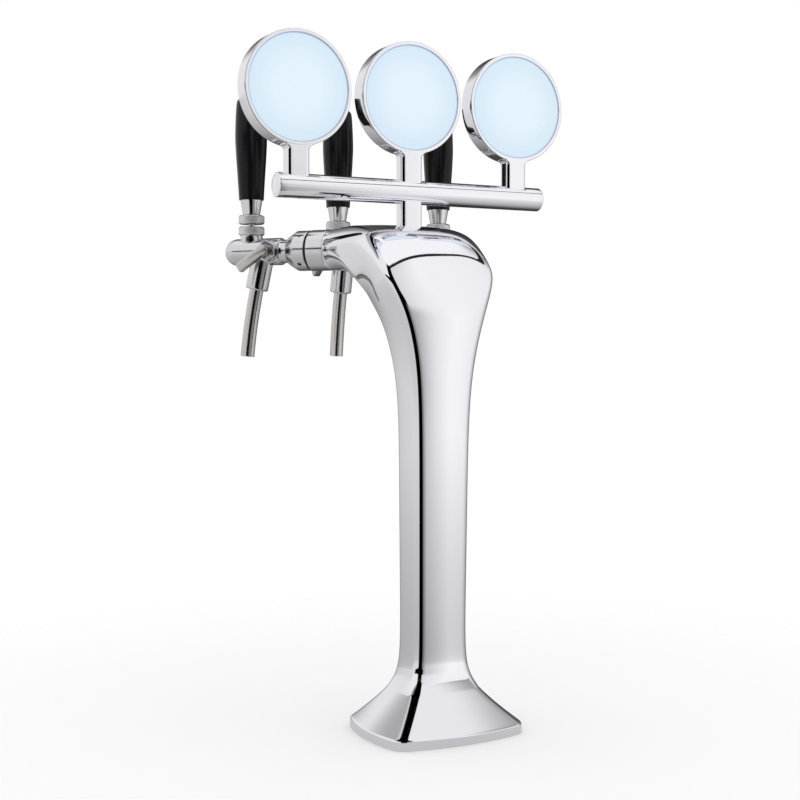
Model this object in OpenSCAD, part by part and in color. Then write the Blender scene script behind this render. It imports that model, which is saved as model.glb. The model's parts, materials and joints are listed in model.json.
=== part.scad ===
// Three-tap draft beer tower with lit medallions on a cross bar.
// Millimetres. Origin at the middle of the base underside, +Z up,
// the medallions face -Y and the taps point to +Y.

/* [Tower body] */
// Width of the base along the bar
base_width = 134; // [112:0.1:146]
// Depth of the base from the medallion side to the tap side
base_depth = 109; // [90:0.1:124]
// How far the base edges bow out beyond a straight line
base_bow = 8; // [0:0.5:10]
// Height of the upright edge of the base
flange_height = 8; // [4:0.5:14]
// Height at which the flare of the base becomes the column
flare_height = 56; // [50:1:90]
// Height that steers where the flare turns outwards
flare_knee = 40; // [30:1:48]
// Width of the column
column_width = 46; // [42:0.5:56]
// Depth of the column
column_depth = 41; // [38:0.5:48]
// Distance of the column's middle behind the middle of the base
column_offset = 4.7; // [0:0.1:10]
// How far the column's faces bow out
column_bow = 0.8; // [0.2:0.1:1.5]
// Rounding of the column's upright corners
corner_radius = 7; // [4:0.5:10]
// Width of the hood across its two shoulders
hood_width = 106; // [100:1:120]
// Height of the crown's edges above the tap axes
crown_height = 14.5; // [13:0.1:16]
// Extra height of the crown at its middle, over its edges
crown_rise = 3; // [2:0.1:5]
// How much lower the ends of the hood's back edge are than its middle
crown_arch = 7; // [0:0.5:9]
// Distance from the base middle at which the crown is level
crown_y = 40; // [34:0.5:46]
// Depth below the tap axes at which the hood's back starts to round over
shoulder_drop = 25; // [20:0.5:30]
// Depth below the tap axes at which the column starts to widen
hood_drop = 186; // [170:1:200]
// Depth below the tap axes at which the throat leaves the column
throat_drop = 106; // [100:1:112]
// Squareness of the throat's curve towards the column, where 1 is an ellipse
throat_square = 0.8; // [0.7:0.05:1]
// Squareness of the throat's curve towards the ports, where 1 is an ellipse
throat_flat = 0.92; // [0.75:0.01:1]
// Wall of the casting
wall = 3.5; // [2.5:0.1:5]

/* [Counter fixing] */
// Spacing of the tapped holes along the bar
bolt_spacing_x = 80; // [64:1:90]
// Spacing of the tapped holes across the bar
bolt_spacing_y = 58; // [50:1:66]
// Bore of the tapped holes
bolt_hole_diameter = 5; // [4:0.1:7]
// Depth of the tapped holes
bolt_hole_depth = 12; // [8:1:14]
// Thickness of the gasket in the underside
gasket_thickness = 2; // [1:0.5:3]
// Width of the gasket band
gasket_width = 4; // [3:0.5:6]

/* [Tap places] */
// Height of the tap axes above the counter
tap_height = 411; // [380:1:470]
// Distance of the outer ports from the middle
port_spacing = 46.6; // [44:0.1:56]
// Distance of the outer port faces from the base middle
outer_port_y = 110; // [106:0.5:116]
// Distance of the middle port face from the base middle
middle_port_y = 113; // [108:0.5:120]
// Angle by which the outer taps fan out
fan_angle = 40.7; // [35:0.1:46]
// Diameter of the ports
port_diameter = 36.5; // [34:0.1:40]
// How far the hood stands proud of the ports all round
port_lip = 0.5; // [0.3:0.1:1]

/* [Shank] */
// Thread diameter of the shank
shank_diameter = 21; // [18:0.1:22]
// Bore of the shank
shank_bore = 9; // [7:0.5:11]
// Length of the shank inside the port
shank_depth = 20; // [16:0.5:24]
// Length of the hose tail behind the shank
tail_length = 14; // [10:0.5:18]
// Outer diameter of the hose tail and the product tube
tube_diameter = 9.5; // [8:0.1:10]
// Bore of the product tube
tube_bore = 7; // [5:0.1:7.5]
// Length of the plain collar on the port
collar_length = 16.4; // [12:0.1:22]
// Thickness of the dark washer between collar and nut
washer_thickness = 2; // [1:0.1:2.5]
// Diameter of the dark washer
washer_diameter = 34.5; // [30:0.1:36]

/* [Coupling nut] */
// Diameter of the coupling nut
nut_diameter = 36; // [33:0.1:39]
// Length of the round part of the nut
nut_length = 11.5; // [9:0.5:14]
// Length of the tapered part of the nut
nut_taper = 9; // [6:0.5:12]
// Small end of the tapered part
nut_mouth = 25; // [24:0.1:28]
// Diameter of the spanner holes
spanner_hole = 3.6; // [2.5:0.1:5]

/* [Tap body] */
// Diameter of the neck behind the barrel
neck_diameter = 21; // [19:0.1:23]
// Diameter of the barrel
barrel_diameter = 24.6; // [24:0.1:28]
// Distance of the handle axis from the port face
handle_distance = 78.6; // [75:0.1:90]
// Distance of the flow control axis from the port face
control_distance = 55; // [53:0.1:58]
// Length of the barrel in front of the handle axis
nose_length = 25.4; // [24:0.1:32]
// Bore of the plunger chamber
chamber_bore = 14.2; // [13:0.1:15]
// Height of the bonnet seat above the tap axis
bonnet_height = 15.2; // [14:0.1:20]
// Diameter of the bonnet stub
stub_diameter = 20; // [18:0.1:22]

/* [Spout] */
// Diameter of the spout socket
socket_diameter = 20.4; // [19:0.1:24]
// Distance of the spout axis from the port face, at the tap axis
spout_distance = 66; // [63:0.1:69]
// Length of the spout socket below the tap axis
socket_length = 35; // [30:0.5:40]
// Lean of the spout socket
socket_lean = 12.5; // [5:0.5:14]
// Outer diameter of the spout
spout_diameter = 12.6; // [11:0.1:14]
// Wall of the spout
spout_wall = 1.2; // [0.8:0.1:2]
// Bend radius of the spout
spout_bend = 520; // [350:10:900]
// Angle through which the spout bends back to upright
spout_sweep = 6.8; // [4:0.1:9]
// Depth of the spout inside its socket
spout_seat = 14; // [8:0.5:18]

/* [Handle] */
// Diameter of the two knurled collars
knurl_diameter = 23.6; // [21:0.1:26]
// Height of each knurled collar
knurl_height = 7.9; // [7:0.1:10]
// Gap between the two knurled collars
knurl_gap = 2.4; // [2.4:0.1:4]
// Chamfer of the knurled collars
knurl_chamfer = 1.2; // [0.8:0.1:2]
// Radius of the pivot ball
ball_radius = 5; // [4.5:0.1:5.5]
// Height of the pivot above the tap axis
pivot_height = 18; // [17:0.1:19]
// Height of the ferrule
ferrule_height = 14.1; // [10:0.1:20]
// Diameter of the ferrule's lower end
ferrule_small = 15.2; // [13:0.1:18]
// Diameter of the ferrule's upper end
ferrule_large = 20; // [18:0.1:22]
// Height of the black grip
grip_height = 94.6; // [70:0.1:130]
// Diameter of the grip at its foot
grip_foot = 22.5; // [21:0.1:26]
// Largest diameter of the grip
grip_belly = 29; // [26:0.1:36]
// Diameter of the stud that holds the grip
stud_diameter = 8; // [6:0.5:10]

/* [Flow control] */
// Diameter of the control spindle
spindle_diameter = 6; // [5:0.1:7]
// Distance of the lever's middle from the tap axis
lever_offset = 24; // [22:0.1:30]
// Length of the lever from spindle to tip
lever_length = 29; // [24:0.5:40]
// Width of the lever
lever_width = 8.4; // [7.5:0.1:11]
// Angle of the lever below level at rest
lever_droop = 34; // [0:1:60]
// Diameter of the gland nut over its corners
gland_diameter = 19; // [17:0.1:21]
// Height of the gland nut
gland_height = 5; // [3:0.1:5.5]

/* [Medallions] */
// Height of the medallion middles above the bar axis
medallion_rise = 80.6; // [70:0.1:100]
// Diameter of the lens
lens_diameter = 90; // [70:0.5:96]
// Width of the chromed rim around the lens
rim_width = 3.2; // [1.5:0.05:4]
// Depth of the medallion from front to back
medallion_depth = 16.7; // [14:0.1:24]
// Thickness of the lens at its edge
lens_thickness = 3; // [2:0.1:4]
// How far the lens swells in its middle
lens_swell = 0.6; // [0.3:0.1:0.7]
// Depth of the lens edge behind the rim
lens_recess = 0.8; // [0.7:0.1:1.5]
// Width of the stems and the post
stem_width = 19.6; // [14:0.1:24]
// Depth of the stems and the post
stem_depth = 13.5; // [11:0.1:16]

/* [Cross bar] */
// Diameter of the bar
bar_diameter = 20.8; // [19:0.1:26]
// Wall of the bar
bar_wall = 2; // [1.5:0.1:3]
// Length of the bar
bar_length = 258; // [242:1:300]
// Distance of the bar's middle from the post
bar_shift = 4; // [0:0.5:6]
// Height of the bar axis above the tap axes
bar_rise = 47.6; // [44:0.1:60]
// Distance of the bar axis from the base middle
bar_y = 47.2; // [44:0.1:54]
// Length of the bar beyond the stem on its shorter side
bar_overhang = 18.5; // [17:0.5:22]
// Length of the plugs in the bar ends
plug_length = 10; // [6:0.5:11]
// Diameter of the threaded studs inside
tie_diameter = 6; // [5:0.5:8]

/* [Clearances] */
// Gap all round between fixed pieces that fit into each other
fit = 0.05; // [0.02:0.01:0.1]
// Gap between pieces that move past each other
run = 0.3; // [0.25:0.05:0.4]
// Gap of a turning spindle in its bore
spindle_fit = 0.05; // [0.02:0.01:0.08]

/* [Hidden] */
$fn = 64;

chrome = "gainsboro";
steel = "silver";

// Shared places
column_back = column_offset - column_depth / 2;
column_front = column_offset + column_depth / 2;
hood_half = hood_width / 2;
port_radius = port_diameter / 2;
front_half = port_spacing + port_radius * cos(fan_angle) - 0.4;
hood_reach = outer_port_y - port_radius * sin(fan_angle) - 1.6;
front_reach = port_radius + port_lip;
front_top = tap_height + front_reach;
bar_z = tap_height + bar_rise;
medallion_pitch = bar_length / 2 - bar_shift - bar_overhang;
bar_radius = bar_diameter / 2;
medallion_z = bar_z + medallion_rise;
medallion_front = bar_y - stem_depth / 2;
// Sides are counted 0 left, 1 middle, 2 right
tap_angles = [90 + fan_angle, 90, 90 - fan_angle];
port_places = [
  [-port_spacing, outer_port_y, tap_height],
  [0, middle_port_y, tap_height],
  [port_spacing, outer_port_y, tap_height]
];

function lerp(a, b, t) = a + (b - a) * t;

// A rib is one section of the casting: back y, back z, throat y, throat z,
// half width, corner radius, crown lift y, crown lift z, bow of all four edges,
// and how much narrower each side is at the throat.
function flare_rib(q) =
  let (z = (1 - q) * (1 - q) * flare_height + 2 * q * (1 - q) * flare_knee + q * q * flange_height)
  [
    lerp(column_back + column_bow, base_bow - base_depth / 2, q * q), z,
    lerp(column_front - column_bow, base_depth / 2 - base_bow, q * q), z,
    lerp(column_width / 2 - column_bow, base_width / 2 - base_bow, q * q),
    corner_radius, 0, 0, lerp(column_bow, base_bow, q * q), 0
  ];

// A column rib, by how far it departs from the plain column
function column_rib(back, back_z, throat, throat_z, widen, lift) =
  [
    column_back + column_bow - back, back_z, column_front - column_bow - throat, throat_z,
    column_width / 2 - column_bow + widen, corner_radius, -lift, 0, column_bow, 0
  ];

// Back of the hood: an elliptic arc that turns from upright to level
hood_back = column_back + 5;
function crown_point(turn) = [
  lerp(crown_y, hood_back, cos(turn)),
  tap_height + lerp(-shoulder_drop, crown_height, sin(turn))
];

// Throat of the hood: a squarish arc from the column's front to the ports' underside
function throat_point(turn) = [
  lerp(hood_reach, column_front - 1.6, pow(cos(turn), throat_square)),
  tap_height - lerp(throat_drop, front_reach, pow(sin(turn), throat_flat))
];

// A hood rib from a crown point to a throat point; its width grows towards the front
function hood_rib(back, throat, narrow, taper, radius, lift_y, lift_z) = [
  back[0], back[1], throat[0], throat[1],
  lerp(hood_half, front_half, max(0, (back[0] - hood_back) / (hood_reach - hood_back))) - narrow,
  radius, lift_y, lift_z, column_bow, taper
];

// A hood rib whose back lies on the crown and arches up between its ends
function crown_rib(turn, throat, narrow, taper, radius, lift_y, rise, arch) =
  hood_rib(crown_point(turn) - [0, arch], throat, narrow, taper, radius, lift_y, rise + arch);

hood_start = tap_height - hood_drop;
throat_start = tap_height - throat_drop;
column_middle = (flare_height + hood_start) / 2;
widening_back = lerp(hood_start, throat_start, 0.625);
widening_front = lerp(hood_start, throat_start, 0.59);
neck_back = [column_back - 3, tap_height - 0.62 * throat_drop];
nape_back = [column_back - 0.5, tap_height - 0.41 * throat_drop];
body_ribs = [
  flare_rib(0),
  column_rib(1.7, column_middle, -0.6, column_middle, 0.9, 0),
  column_rib(2.5, hood_start, -0.3, hood_start, 1.6, 0.3),
  column_rib(3, widening_back, 0.8, widening_front, 3, 0.8),
  column_rib(3.5, tap_height - 0.935 * throat_drop, 1.6, throat_start, 7, 1.2),
  hood_rib(neck_back, throat_point(16), 15.7, 3, corner_radius, -1.5, 0),
  hood_rib(nape_back, throat_point(27), 6.8, 8, corner_radius - 0.5, -2, 0),
  crown_rib(0, throat_point(36), 0.6, 11, corner_radius - 1, -2.5, 0, 0.3 * crown_arch),
  crown_rib(24, throat_point(44), 0, 11, corner_radius + 1, -2, crown_rise / 2, 0.8 * crown_arch),
  crown_rib(45, throat_point(51), 0, 8.5, corner_radius + 3, -1, crown_rise, crown_arch),
  crown_rib(67, throat_point(58), 0, 6, corner_radius + 5, 0, crown_rise, 0.7 * crown_arch),
  crown_rib(90, throat_point(66), 0, 3.5, port_radius - 4, 0, crown_rise, 0.3 * crown_arch),
  hood_rib([lerp(crown_y, hood_reach, 0.5), lerp(tap_height + crown_height, front_top, 0.8)],
    throat_point(76), 0, 1.5, port_radius - 1.5, 0, crown_rise / 2),
  hood_rib([hood_reach - 7, front_top - 0.2], [hood_reach - 5.5, tap_height - front_reach + 0.3],
    0, 0, front_reach - 0.6, 0, 0.4),
  hood_rib([hood_reach, front_top], [hood_reach, tap_height - front_reach], 0, 0, front_reach - 0.6, 0, 0)
];

// The same rib one wall further in
function inner_rib(rib) =
  let (
    back = [rib[0], rib[1]],
    throat = [rib[2], rib[3]],
    inward = wall * (throat - back) / norm(throat - back)
  )
  [
    back[0] + inward[0], back[1] + inward[1], throat[0] - inward[0], throat[1] - inward[1],
    rib[4] - wall, max(rib[5] - wall, 2), rib[6], rib[7], rib[8], rib[9]
  ];
last_rib = body_ribs[len(body_ribs) - 1];
cavity_foot = [for (i = [0:9]) i == 1 || i == 3 ? 0 : body_ribs[0][i]];
cavity_end = [for (i = [0:9]) i == 0 || i == 2 ? last_rib[i] - wall : last_rib[i]];
cavity_ribs = concat(
  [inner_rib(cavity_foot)],
  [for (i = [0:len(body_ribs) - 2]) inner_rib(body_ribs[i])],
  [inner_rib(cavity_end)]
);

// Smooth curve through a list of vectors, with a number of steps between two of them
function curve_point(list, i, t) =
  let (
    a = list[max(i - 1, 0)],
    b = list[i],
    c = list[i + 1],
    d = list[min(i + 2, len(list) - 1)]
  )
  0.5 * (2 * b + (c - a) * t + (2 * a - 5 * b + 4 * c - d) * t * t + (3 * b - a - 3 * c + d) * t * t * t);
function curve(list, steps) = concat(
  [for (i = [0:len(list) - 2], k = [0:steps - 1]) curve_point(list, i, k / steps)],
  [list[len(list) - 1]]
);

// Rounded rectangle of half width w and half depth h
arc_steps = 5;
side_steps = 4;
corner_signs = [[1, 1], [-1, 1], [-1, -1], [1, -1]];
ring_count = 4 * (arc_steps + side_steps);
function outline(w, h, r) = [
  for (c = [0:3])
    let (
      here = [corner_signs[c][0] * (w - r), corner_signs[c][1] * (h - r)],
      next = [corner_signs[(c + 1) % 4][0] * (w - r), corner_signs[(c + 1) % 4][1] * (h - r)],
      out = r * [cos(90 * c + 90), sin(90 * c + 90)]
    )
    each concat(
      [for (i = [0:arc_steps]) here + r * [cos(90 * (c + i / arc_steps)), sin(90 * (c + i / arc_steps))]],
      [for (i = [1:side_steps - 1]) lerp(here, next, i / side_steps) + out]
    )
];

// The points of one rib, with its edges bowed and its crown lifted
function section(rib) =
  let (
    back = [rib[0], rib[1]],
    throat = [rib[2], rib[3]],
    h = norm(throat - back) / 2,
    along = (throat - back) / (2 * h),
    centre = (back + throat) / 2,
    w = rib[4]
  )
  [
    for (p = outline(w, h, min(rib[5], h - 0.6)))
      let (
        across = 1 - pow(p[0] / w, 2),
        side = p[0] / w,
        x = p[0] + side * (rib[8] * (1 - pow(p[1] / h, 2)) - rib[9] * (1 + p[1] / h) / 2),
        v = p[1] + rib[8] * across * p[1] / h,
        lift = across * max(0, -p[1] / h)
      )
      [x, centre[0] + v * along[0] + lift * rib[6], centre[1] + v * along[1] + lift * rib[7]]
  ];

// Triangles between ring a and ring b of the same point count
function band(a, b, count) = [
  for (j = [0:count - 1])
    let (k = (j + 1) % count)
    each [[a + j, b + j, b + k], [a + j, b + k, a + k]]
];

// A hollow loft, open at its foot and closed at its end
module hollow_loft(outer, inner, count) {
  first_inner = len(outer) * count;
  points = [for (ring = concat(outer, inner)) each ring];
  faces = concat(
    [for (i = [0:len(outer) - 2]) each band(i * count, (i + 1) * count, count)],
    [for (i = [0:len(inner) - 2]) each band(first_inner + (i + 1) * count, first_inner + i * count, count)],
    band(first_inner, 0, count),
    [[for (j = [count - 1:-1:0]) (len(outer) - 1) * count + j]],
    [[for (j = [0:count - 1]) first_inner + (len(inner) - 1) * count + j]]
  );
  polyhedron(points, faces);
}

module casting_shell() {
  flare_steps = 9;
  foot = [for (i = [0:9]) i == 1 || i == 3 ? 0 : flare_rib(1)[i]];
  ribs = concat(
    [foot],
    [for (i = [0:flare_steps - 1]) flare_rib(1 - i / flare_steps)],
    curve(body_ribs, 4)
  );
  outer = [for (rib = ribs) section(rib)];
  inner = [for (rib = curve(cavity_ribs, 2)) section(rib)];
  hollow_loft(outer, inner, ring_count);
}

// Places its children in the frame of one tap: +X along the tap, origin on the port face
module at_tap(side) translate(port_places[side]) rotate([0, 0, tap_angles[side]]) children();
module all_taps() for (side = [0:2]) at_tap(side) children();

// A round bar along +X
module along_tap(from, to, d1, d2) translate([from, 0, 0]) rotate([0, 90, 0])
  cylinder(h = to - from, d1 = d1, d2 = is_undef(d2) ? d1 : d2);

// The ports start inside the hood's end wall, so they are cut off there along a plane
port_depth = (outer_port_y + port_radius * sin(fan_angle) - hood_reach + wall) / cos(fan_angle) + 1;
module ports() difference() {
  all_taps() along_tap(-port_depth, 0, port_diameter);
  translate([-hood_width, 0, tap_height - hood_width])
    cube([2 * hood_width, hood_reach - wall / 2, 2 * hood_width]);
}

post_depth = 3;
post_floor = tap_height + crown_height + crown_rise - wall - post_depth;
post_margin = 4;
post_seat = 6;
boss_top = tap_height + crown_height + 1;
module tower_body() color(chrome) difference() {
  union() {
    casting_shell();
    ports();
    translate([-stem_width / 2 - post_margin, bar_y - stem_depth / 2 - post_margin, post_floor - post_seat])
      cube([stem_width + 2 * post_margin, stem_depth + 2 * post_margin, boss_top - post_floor + post_seat]);
  }
  all_taps() along_tap(-port_depth, 1, shank_diameter + 2 * fit);
  for (x = [-1, 1] * bolt_spacing_x / 2, y = [-1, 1] * bolt_spacing_y / 2)
    translate([x, y, -1]) cylinder(h = bolt_hole_depth + 1, d = bolt_hole_diameter);
  translate([0, 0, -1]) difference() {
    cylinder(h = gasket_thickness + 1, r = gasket_inner + gasket_width + fit);
    cylinder(h = gasket_thickness + 1, r = gasket_inner - fit);
  }
  translate([-stem_width / 2 - fit, bar_y - stem_depth / 2 - fit, post_floor])
    cube([stem_width + 2 * fit, stem_depth + 2 * fit, bar_rise]);
  translate([0, bar_y, post_floor - 2 * post_seat]) cylinder(h = bar_rise, d = tie_diameter + 2 * fit);
}

gasket_inner = norm([column_width / 2 - wall, column_front - wall]) + 2;
module base_gasket() color("dimgray") difference() {
  cylinder(h = gasket_thickness, r = gasket_inner + gasket_width);
  translate([0, 0, -1]) cylinder(h = gasket_thickness + 2, r = gasket_inner);
}

module bar_hollow(length, diameter) translate([bar_shift - length / 2, bar_y, bar_z])
  rotate([0, 90, 0]) cylinder(h = length, d = diameter);

module support_post() color(chrome) difference() {
  translate([-stem_width / 2, bar_y - stem_depth / 2, post_floor])
    cube([stem_width, stem_depth, bar_z - post_floor]);
  bar_hollow(bar_length, bar_diameter + 2 * fit);
  translate([0, bar_y, post_floor - 1]) cylinder(h = bar_rise, d = tie_diameter + 2 * fit);
}

bar_chamfer = 1;
module cross_bar() color(chrome) difference() {
  union() {
    bar_hollow(bar_length - 2 * bar_chamfer, bar_diameter);
    bar_hollow(bar_length, bar_diameter - 2 * bar_chamfer);
    for (turn = [0, 180]) translate([bar_shift, bar_y, bar_z]) rotate([0, 0, turn])
      along_tap(bar_length / 2 - bar_chamfer, bar_length / 2, bar_diameter, bar_diameter - 2 * bar_chamfer);
  }
  bar_hollow(bar_length + 2, bar_diameter - 2 * bar_wall);
  for (i = [-1:1]) translate([i * medallion_pitch, bar_y, bar_z])
    cylinder(h = bar_diameter, d = tie_diameter + 2 * fit);
  translate([0, bar_y, bar_z - bar_diameter]) cylinder(h = bar_diameter, d = tie_diameter + 2 * fit);
}

module bar_end_caps() color(chrome) for (turn = [0, 180])
  translate([bar_shift, bar_y, bar_z]) rotate([0, 0, turn])
    along_tap(bar_length / 2 - plug_length, bar_length / 2, bar_diameter - 2 * bar_wall - 2 * fit);

// Outer studs hang by their heads inside the bar; the middle one runs down into the hood
tie_reach = 12;
tie_head = 10;
head_z = sqrt(pow(bar_radius - bar_wall, 2) - pow(tie_head / 2, 2)) - fit;
module tie_studs() color(steel) {
  for (x = [-1, 1] * medallion_pitch) translate([x, bar_y, bar_z]) {
    cylinder(h = bar_radius + tie_reach, d = tie_diameter);
    translate([0, 0, head_z - 4]) cylinder(h = 4, d = tie_head);
  }
  translate([0, bar_y, post_floor - post_seat])
    cylinder(h = bar_z + bar_radius + tie_reach - post_floor + post_seat, d = tie_diameter);
}

// Places its children in a medallion: local +Z points out of the lens, origin on the front
module at_medallion(side) translate([(side - 1) * medallion_pitch, medallion_front, medallion_z])
  rotate([90, 0, 0]) children();

lens_radius = lens_diameter / 2;
rim_radius = lens_radius + rim_width;
rim_round = 0.6;
ledge_front = lens_recess + lens_thickness;
ledge_back = ledge_front + 2.2;
ledge_radius = lens_radius - 3;
module medallion_housing(side) color(chrome) difference() {
  union() {
    at_medallion(side) rotate_extrude() polygon([
      [lens_radius + fit, 0], [rim_radius - rim_round, 0], [rim_radius, -rim_round],
      [rim_radius, rim_round - medallion_depth], [rim_radius - rim_round, -medallion_depth],
      [lens_radius + fit, -medallion_depth], [lens_radius + fit, -ledge_back],
      [ledge_radius, -ledge_back], [ledge_radius, -ledge_front], [lens_radius + fit, -ledge_front]
    ]);
    translate([(side - 1) * medallion_pitch - stem_width / 2, bar_y - stem_depth / 2, bar_z])
      cube([stem_width, stem_depth, medallion_rise - lens_radius - rim_width / 2]);
  }
  bar_hollow(2 * bar_length, bar_diameter + 2 * fit);
  translate([(side - 1) * medallion_pitch, bar_y, bar_z])
    cylinder(h = bar_radius + tie_reach + fit, d = tie_diameter + 2 * fit);
}

// The front swells by a parabola from edge to middle
module lens(side) color("aliceblue") at_medallion(side) rotate_extrude() polygon(concat(
  [[0, -ledge_front], [lens_radius, -ledge_front]],
  [for (i = [0:8]) let (r = 1 - i / 8) [lens_radius * r, lens_swell * (1 - r * r) - lens_recess]]
));

board_thickness = 1.6;
module led_board(side) color("white") at_medallion(side) {
  translate([0, 0, -ledge_back - board_thickness]) cylinder(h = board_thickness, r = lens_radius - fit);
  for (turn = [0:30:330]) rotate([0, 0, turn]) translate([ledge_radius - 9, 0, -ledge_back - 1])
    cylinder(h = 2, d = 5);
}

cover_thickness = 2.5;
module rear_cover(side) color(chrome) at_medallion(side) difference() {
  translate([0, 0, -medallion_depth])
    cylinder(h = medallion_depth - ledge_back - board_thickness, r = lens_radius - fit);
  translate([0, 0, cover_thickness - medallion_depth]) cylinder(h = medallion_depth, r = ledge_radius);
}

// Places along a tap, measured from its port face
nut_start = collar_length + washer_thickness;
nut_shoulder = nut_start + nut_length;
nut_end = nut_shoulder + nut_taper;
seal_thickness = 1.5;
shank_front = nut_shoulder - 3;
flange_start = shank_front + seal_thickness;
flange_end = flange_start + 4;
flange_diameter = neck_diameter + 5;
seat_start = control_distance + 3.5;
seat_end = seat_start + 2;

module shank(side) color(steel) at_tap(side) difference() {
  union() {
    along_tap(-shank_depth, shank_front, shank_diameter);
    along_tap(-shank_depth - tail_length, -shank_depth, tube_diameter);
  }
  along_tap(-shank_depth + 3, shank_front + 1, shank_bore);
  along_tap(-shank_depth - tail_length - 1, shank_front, tube_bore);
}

// Product tubes start square on the hose tails and run through the hood and down the column
tube_y = column_back + wall + tube_diameter / 2 + 1;
tube_pitch = tube_diameter + 1.5;
tube_foot = 4;
tube_sides = 10;
function tube_route(side) =
  let (
    tail = [cos(tap_angles[side]), sin(tap_angles[side]), 0],
    start = port_places[side] - (shank_depth + tail_length) * tail,
    x = (side - 1) * tube_pitch
  )
  concat([start], curve([
    start - 2 * tail,
    start - 7 * tail,
    [x, lerp(tube_y, hood_reach, 0.57), tap_height - 0.06 * throat_drop],
    [x, lerp(tube_y, hood_reach, 0.32), tap_height - 0.21 * throat_drop],
    [x, lerp(tube_y, hood_reach, 0.14), tap_height - 0.42 * throat_drop],
    [x, tube_y, tap_height - 0.75 * throat_drop],
    [x, tube_y, flare_height],
    [x, tube_y, tube_foot]
  ], 3));
function tube_ring(path, i, radius) =
  let (
    way = path[min(i + 1, len(path) - 1)] - path[max(i - 1, 0)],
    up = cross(way, [1, 0, 0]) / norm(cross(way, [1, 0, 0])),
    out = cross(way, up) / norm(cross(way, up))
  )
  [
    for (k = [0:tube_sides - 1])
      let (turn = 360 * k / tube_sides)
      path[i] + radius * (cos(turn) * up + sin(turn) * out)
  ];
module product_tube(side) color(steel) {
  path = tube_route(side);
  rings = len(path);
  outside = [for (i = [0:rings - 1]) each tube_ring(path, i, tube_diameter / 2)];
  inside = [for (i = [0:rings - 1]) each tube_ring(path, i, tube_bore / 2)];
  half = rings * tube_sides;
  polyhedron(concat(outside, inside), concat(
    [for (i = [0:rings - 2]) each band(i * tube_sides, (i + 1) * tube_sides, tube_sides)],
    [for (i = [0:rings - 2]) each band(half + (i + 1) * tube_sides, half + i * tube_sides, tube_sides)],
    band(half, 0, tube_sides),
    band(half - tube_sides, 2 * half - tube_sides, tube_sides)
  ));
}

module shank_collars() color(chrome) all_taps() difference() {
  along_tap(0, collar_length, port_diameter);
  along_tap(-1, collar_length + 1, shank_diameter + 2 * fit);
}

module dark_washers() color("black") all_taps() difference() {
  along_tap(collar_length, nut_start, washer_diameter);
  along_tap(collar_length - 1, nut_start + 1, shank_diameter + 2 * fit);
}

module coupling_nuts() color(chrome) all_taps() difference() {
  union() {
    along_tap(nut_start, nut_shoulder, nut_diameter);
    along_tap(nut_shoulder, nut_end, nut_diameter, nut_mouth);
  }
  along_tap(nut_start - 1, flange_start, shank_diameter + 2 * fit);
  along_tap(shank_front - 1, flange_end + fit, flange_diameter + 2 * fit);
  along_tap(flange_end, nut_end + 1, neck_diameter + 2 * fit);
  for (turn = [45:90:315]) translate([nut_start + nut_length / 2, 0, 0]) rotate([turn, 0, 0])
    translate([0, 0, shank_diameter / 2 + 3]) cylinder(h = nut_diameter, d = spanner_hole);
}

module shank_seals() color("dimgray") all_taps() difference() {
  along_tap(shank_front, flange_start, shank_diameter);
  along_tap(shank_front - 1, flange_start + 1, shank_bore + 2);
}

// Frames on the tap: handle axis upwards, spout axis downwards, control axis sideways
module at_handle() translate([handle_distance, 0, 0]) children();
module at_spout() translate([spout_distance, 0, 0]) rotate([0, -socket_lean, 0]) children();
module at_control() translate([control_distance, 0, 0]) rotate([-90, 0, 0]) children();

barrel_start = control_distance - 8;
barrel_end = handle_distance + nose_length - barrel_diameter / 2;
chamber_end = handle_distance + 9;
control_seat = barrel_diameter / 2 + 0.5;
socket_chamfer = 1.6;
lever_hole = 9;
module tap_body(side) color(chrome) at_tap(side) difference() {
  union() {
    along_tap(flange_start, flange_end, flange_diameter);
    along_tap(flange_end, barrel_start + 1, neck_diameter);
    along_tap(barrel_start, barrel_end, barrel_diameter);
    translate([barrel_end, 0, 0]) sphere(d = barrel_diameter);
    at_handle() cylinder(h = bonnet_height, d = stub_diameter);
    at_control() cylinder(h = control_seat, d = gland_diameter - 1);
    at_spout() {
      translate([0, 0, socket_chamfer - socket_length])
        cylinder(h = socket_length - socket_chamfer, d = socket_diameter);
      translate([0, 0, -socket_length])
        cylinder(h = socket_chamfer, d1 = socket_diameter - 2 * socket_chamfer, d2 = socket_diameter);
    }
  }
  along_tap(flange_start - 1, seat_start, chamber_bore);
  along_tap(seat_start - 1, seat_end + 1, chamber_bore - 4);
  along_tap(seat_end, chamber_end, chamber_bore);
  at_handle() cylinder(h = bonnet_height + 1, d1 = lever_hole + 5, d2 = lever_hole);
  at_spout() {
    translate([0, 0, -socket_length - 1]) cylinder(h = spout_seat + 1, d = spout_diameter + 2 * fit);
    translate([0, 0, -socket_length]) cylinder(h = socket_length, d = spout_diameter - 2 * spout_wall - 2);
  }
  at_control() translate([0, 0, chamber_bore / 2])
    cylinder(h = control_seat, d = spindle_diameter + 2 * spindle_fit);
}

// A straight stretch in the socket, then an arc that turns back to upright
module spout(side) color(steel) at_tap(side) at_spout() translate([0, 0, -socket_length]) {
  difference() {
    cylinder(h = spout_seat, d = spout_diameter);
    translate([0, 0, -1]) cylinder(h = spout_seat + 2, d = spout_diameter - 2 * spout_wall);
  }
  translate([-spout_bend, 0, 0]) rotate([-90, 0, 0]) rotate_extrude(angle = spout_sweep, $fn = 360)
    translate([spout_bend, 0]) difference() {
      circle(d = spout_diameter, $fn = 48);
      circle(d = spout_diameter - 2 * spout_wall, $fn = 48);
    }
}

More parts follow.
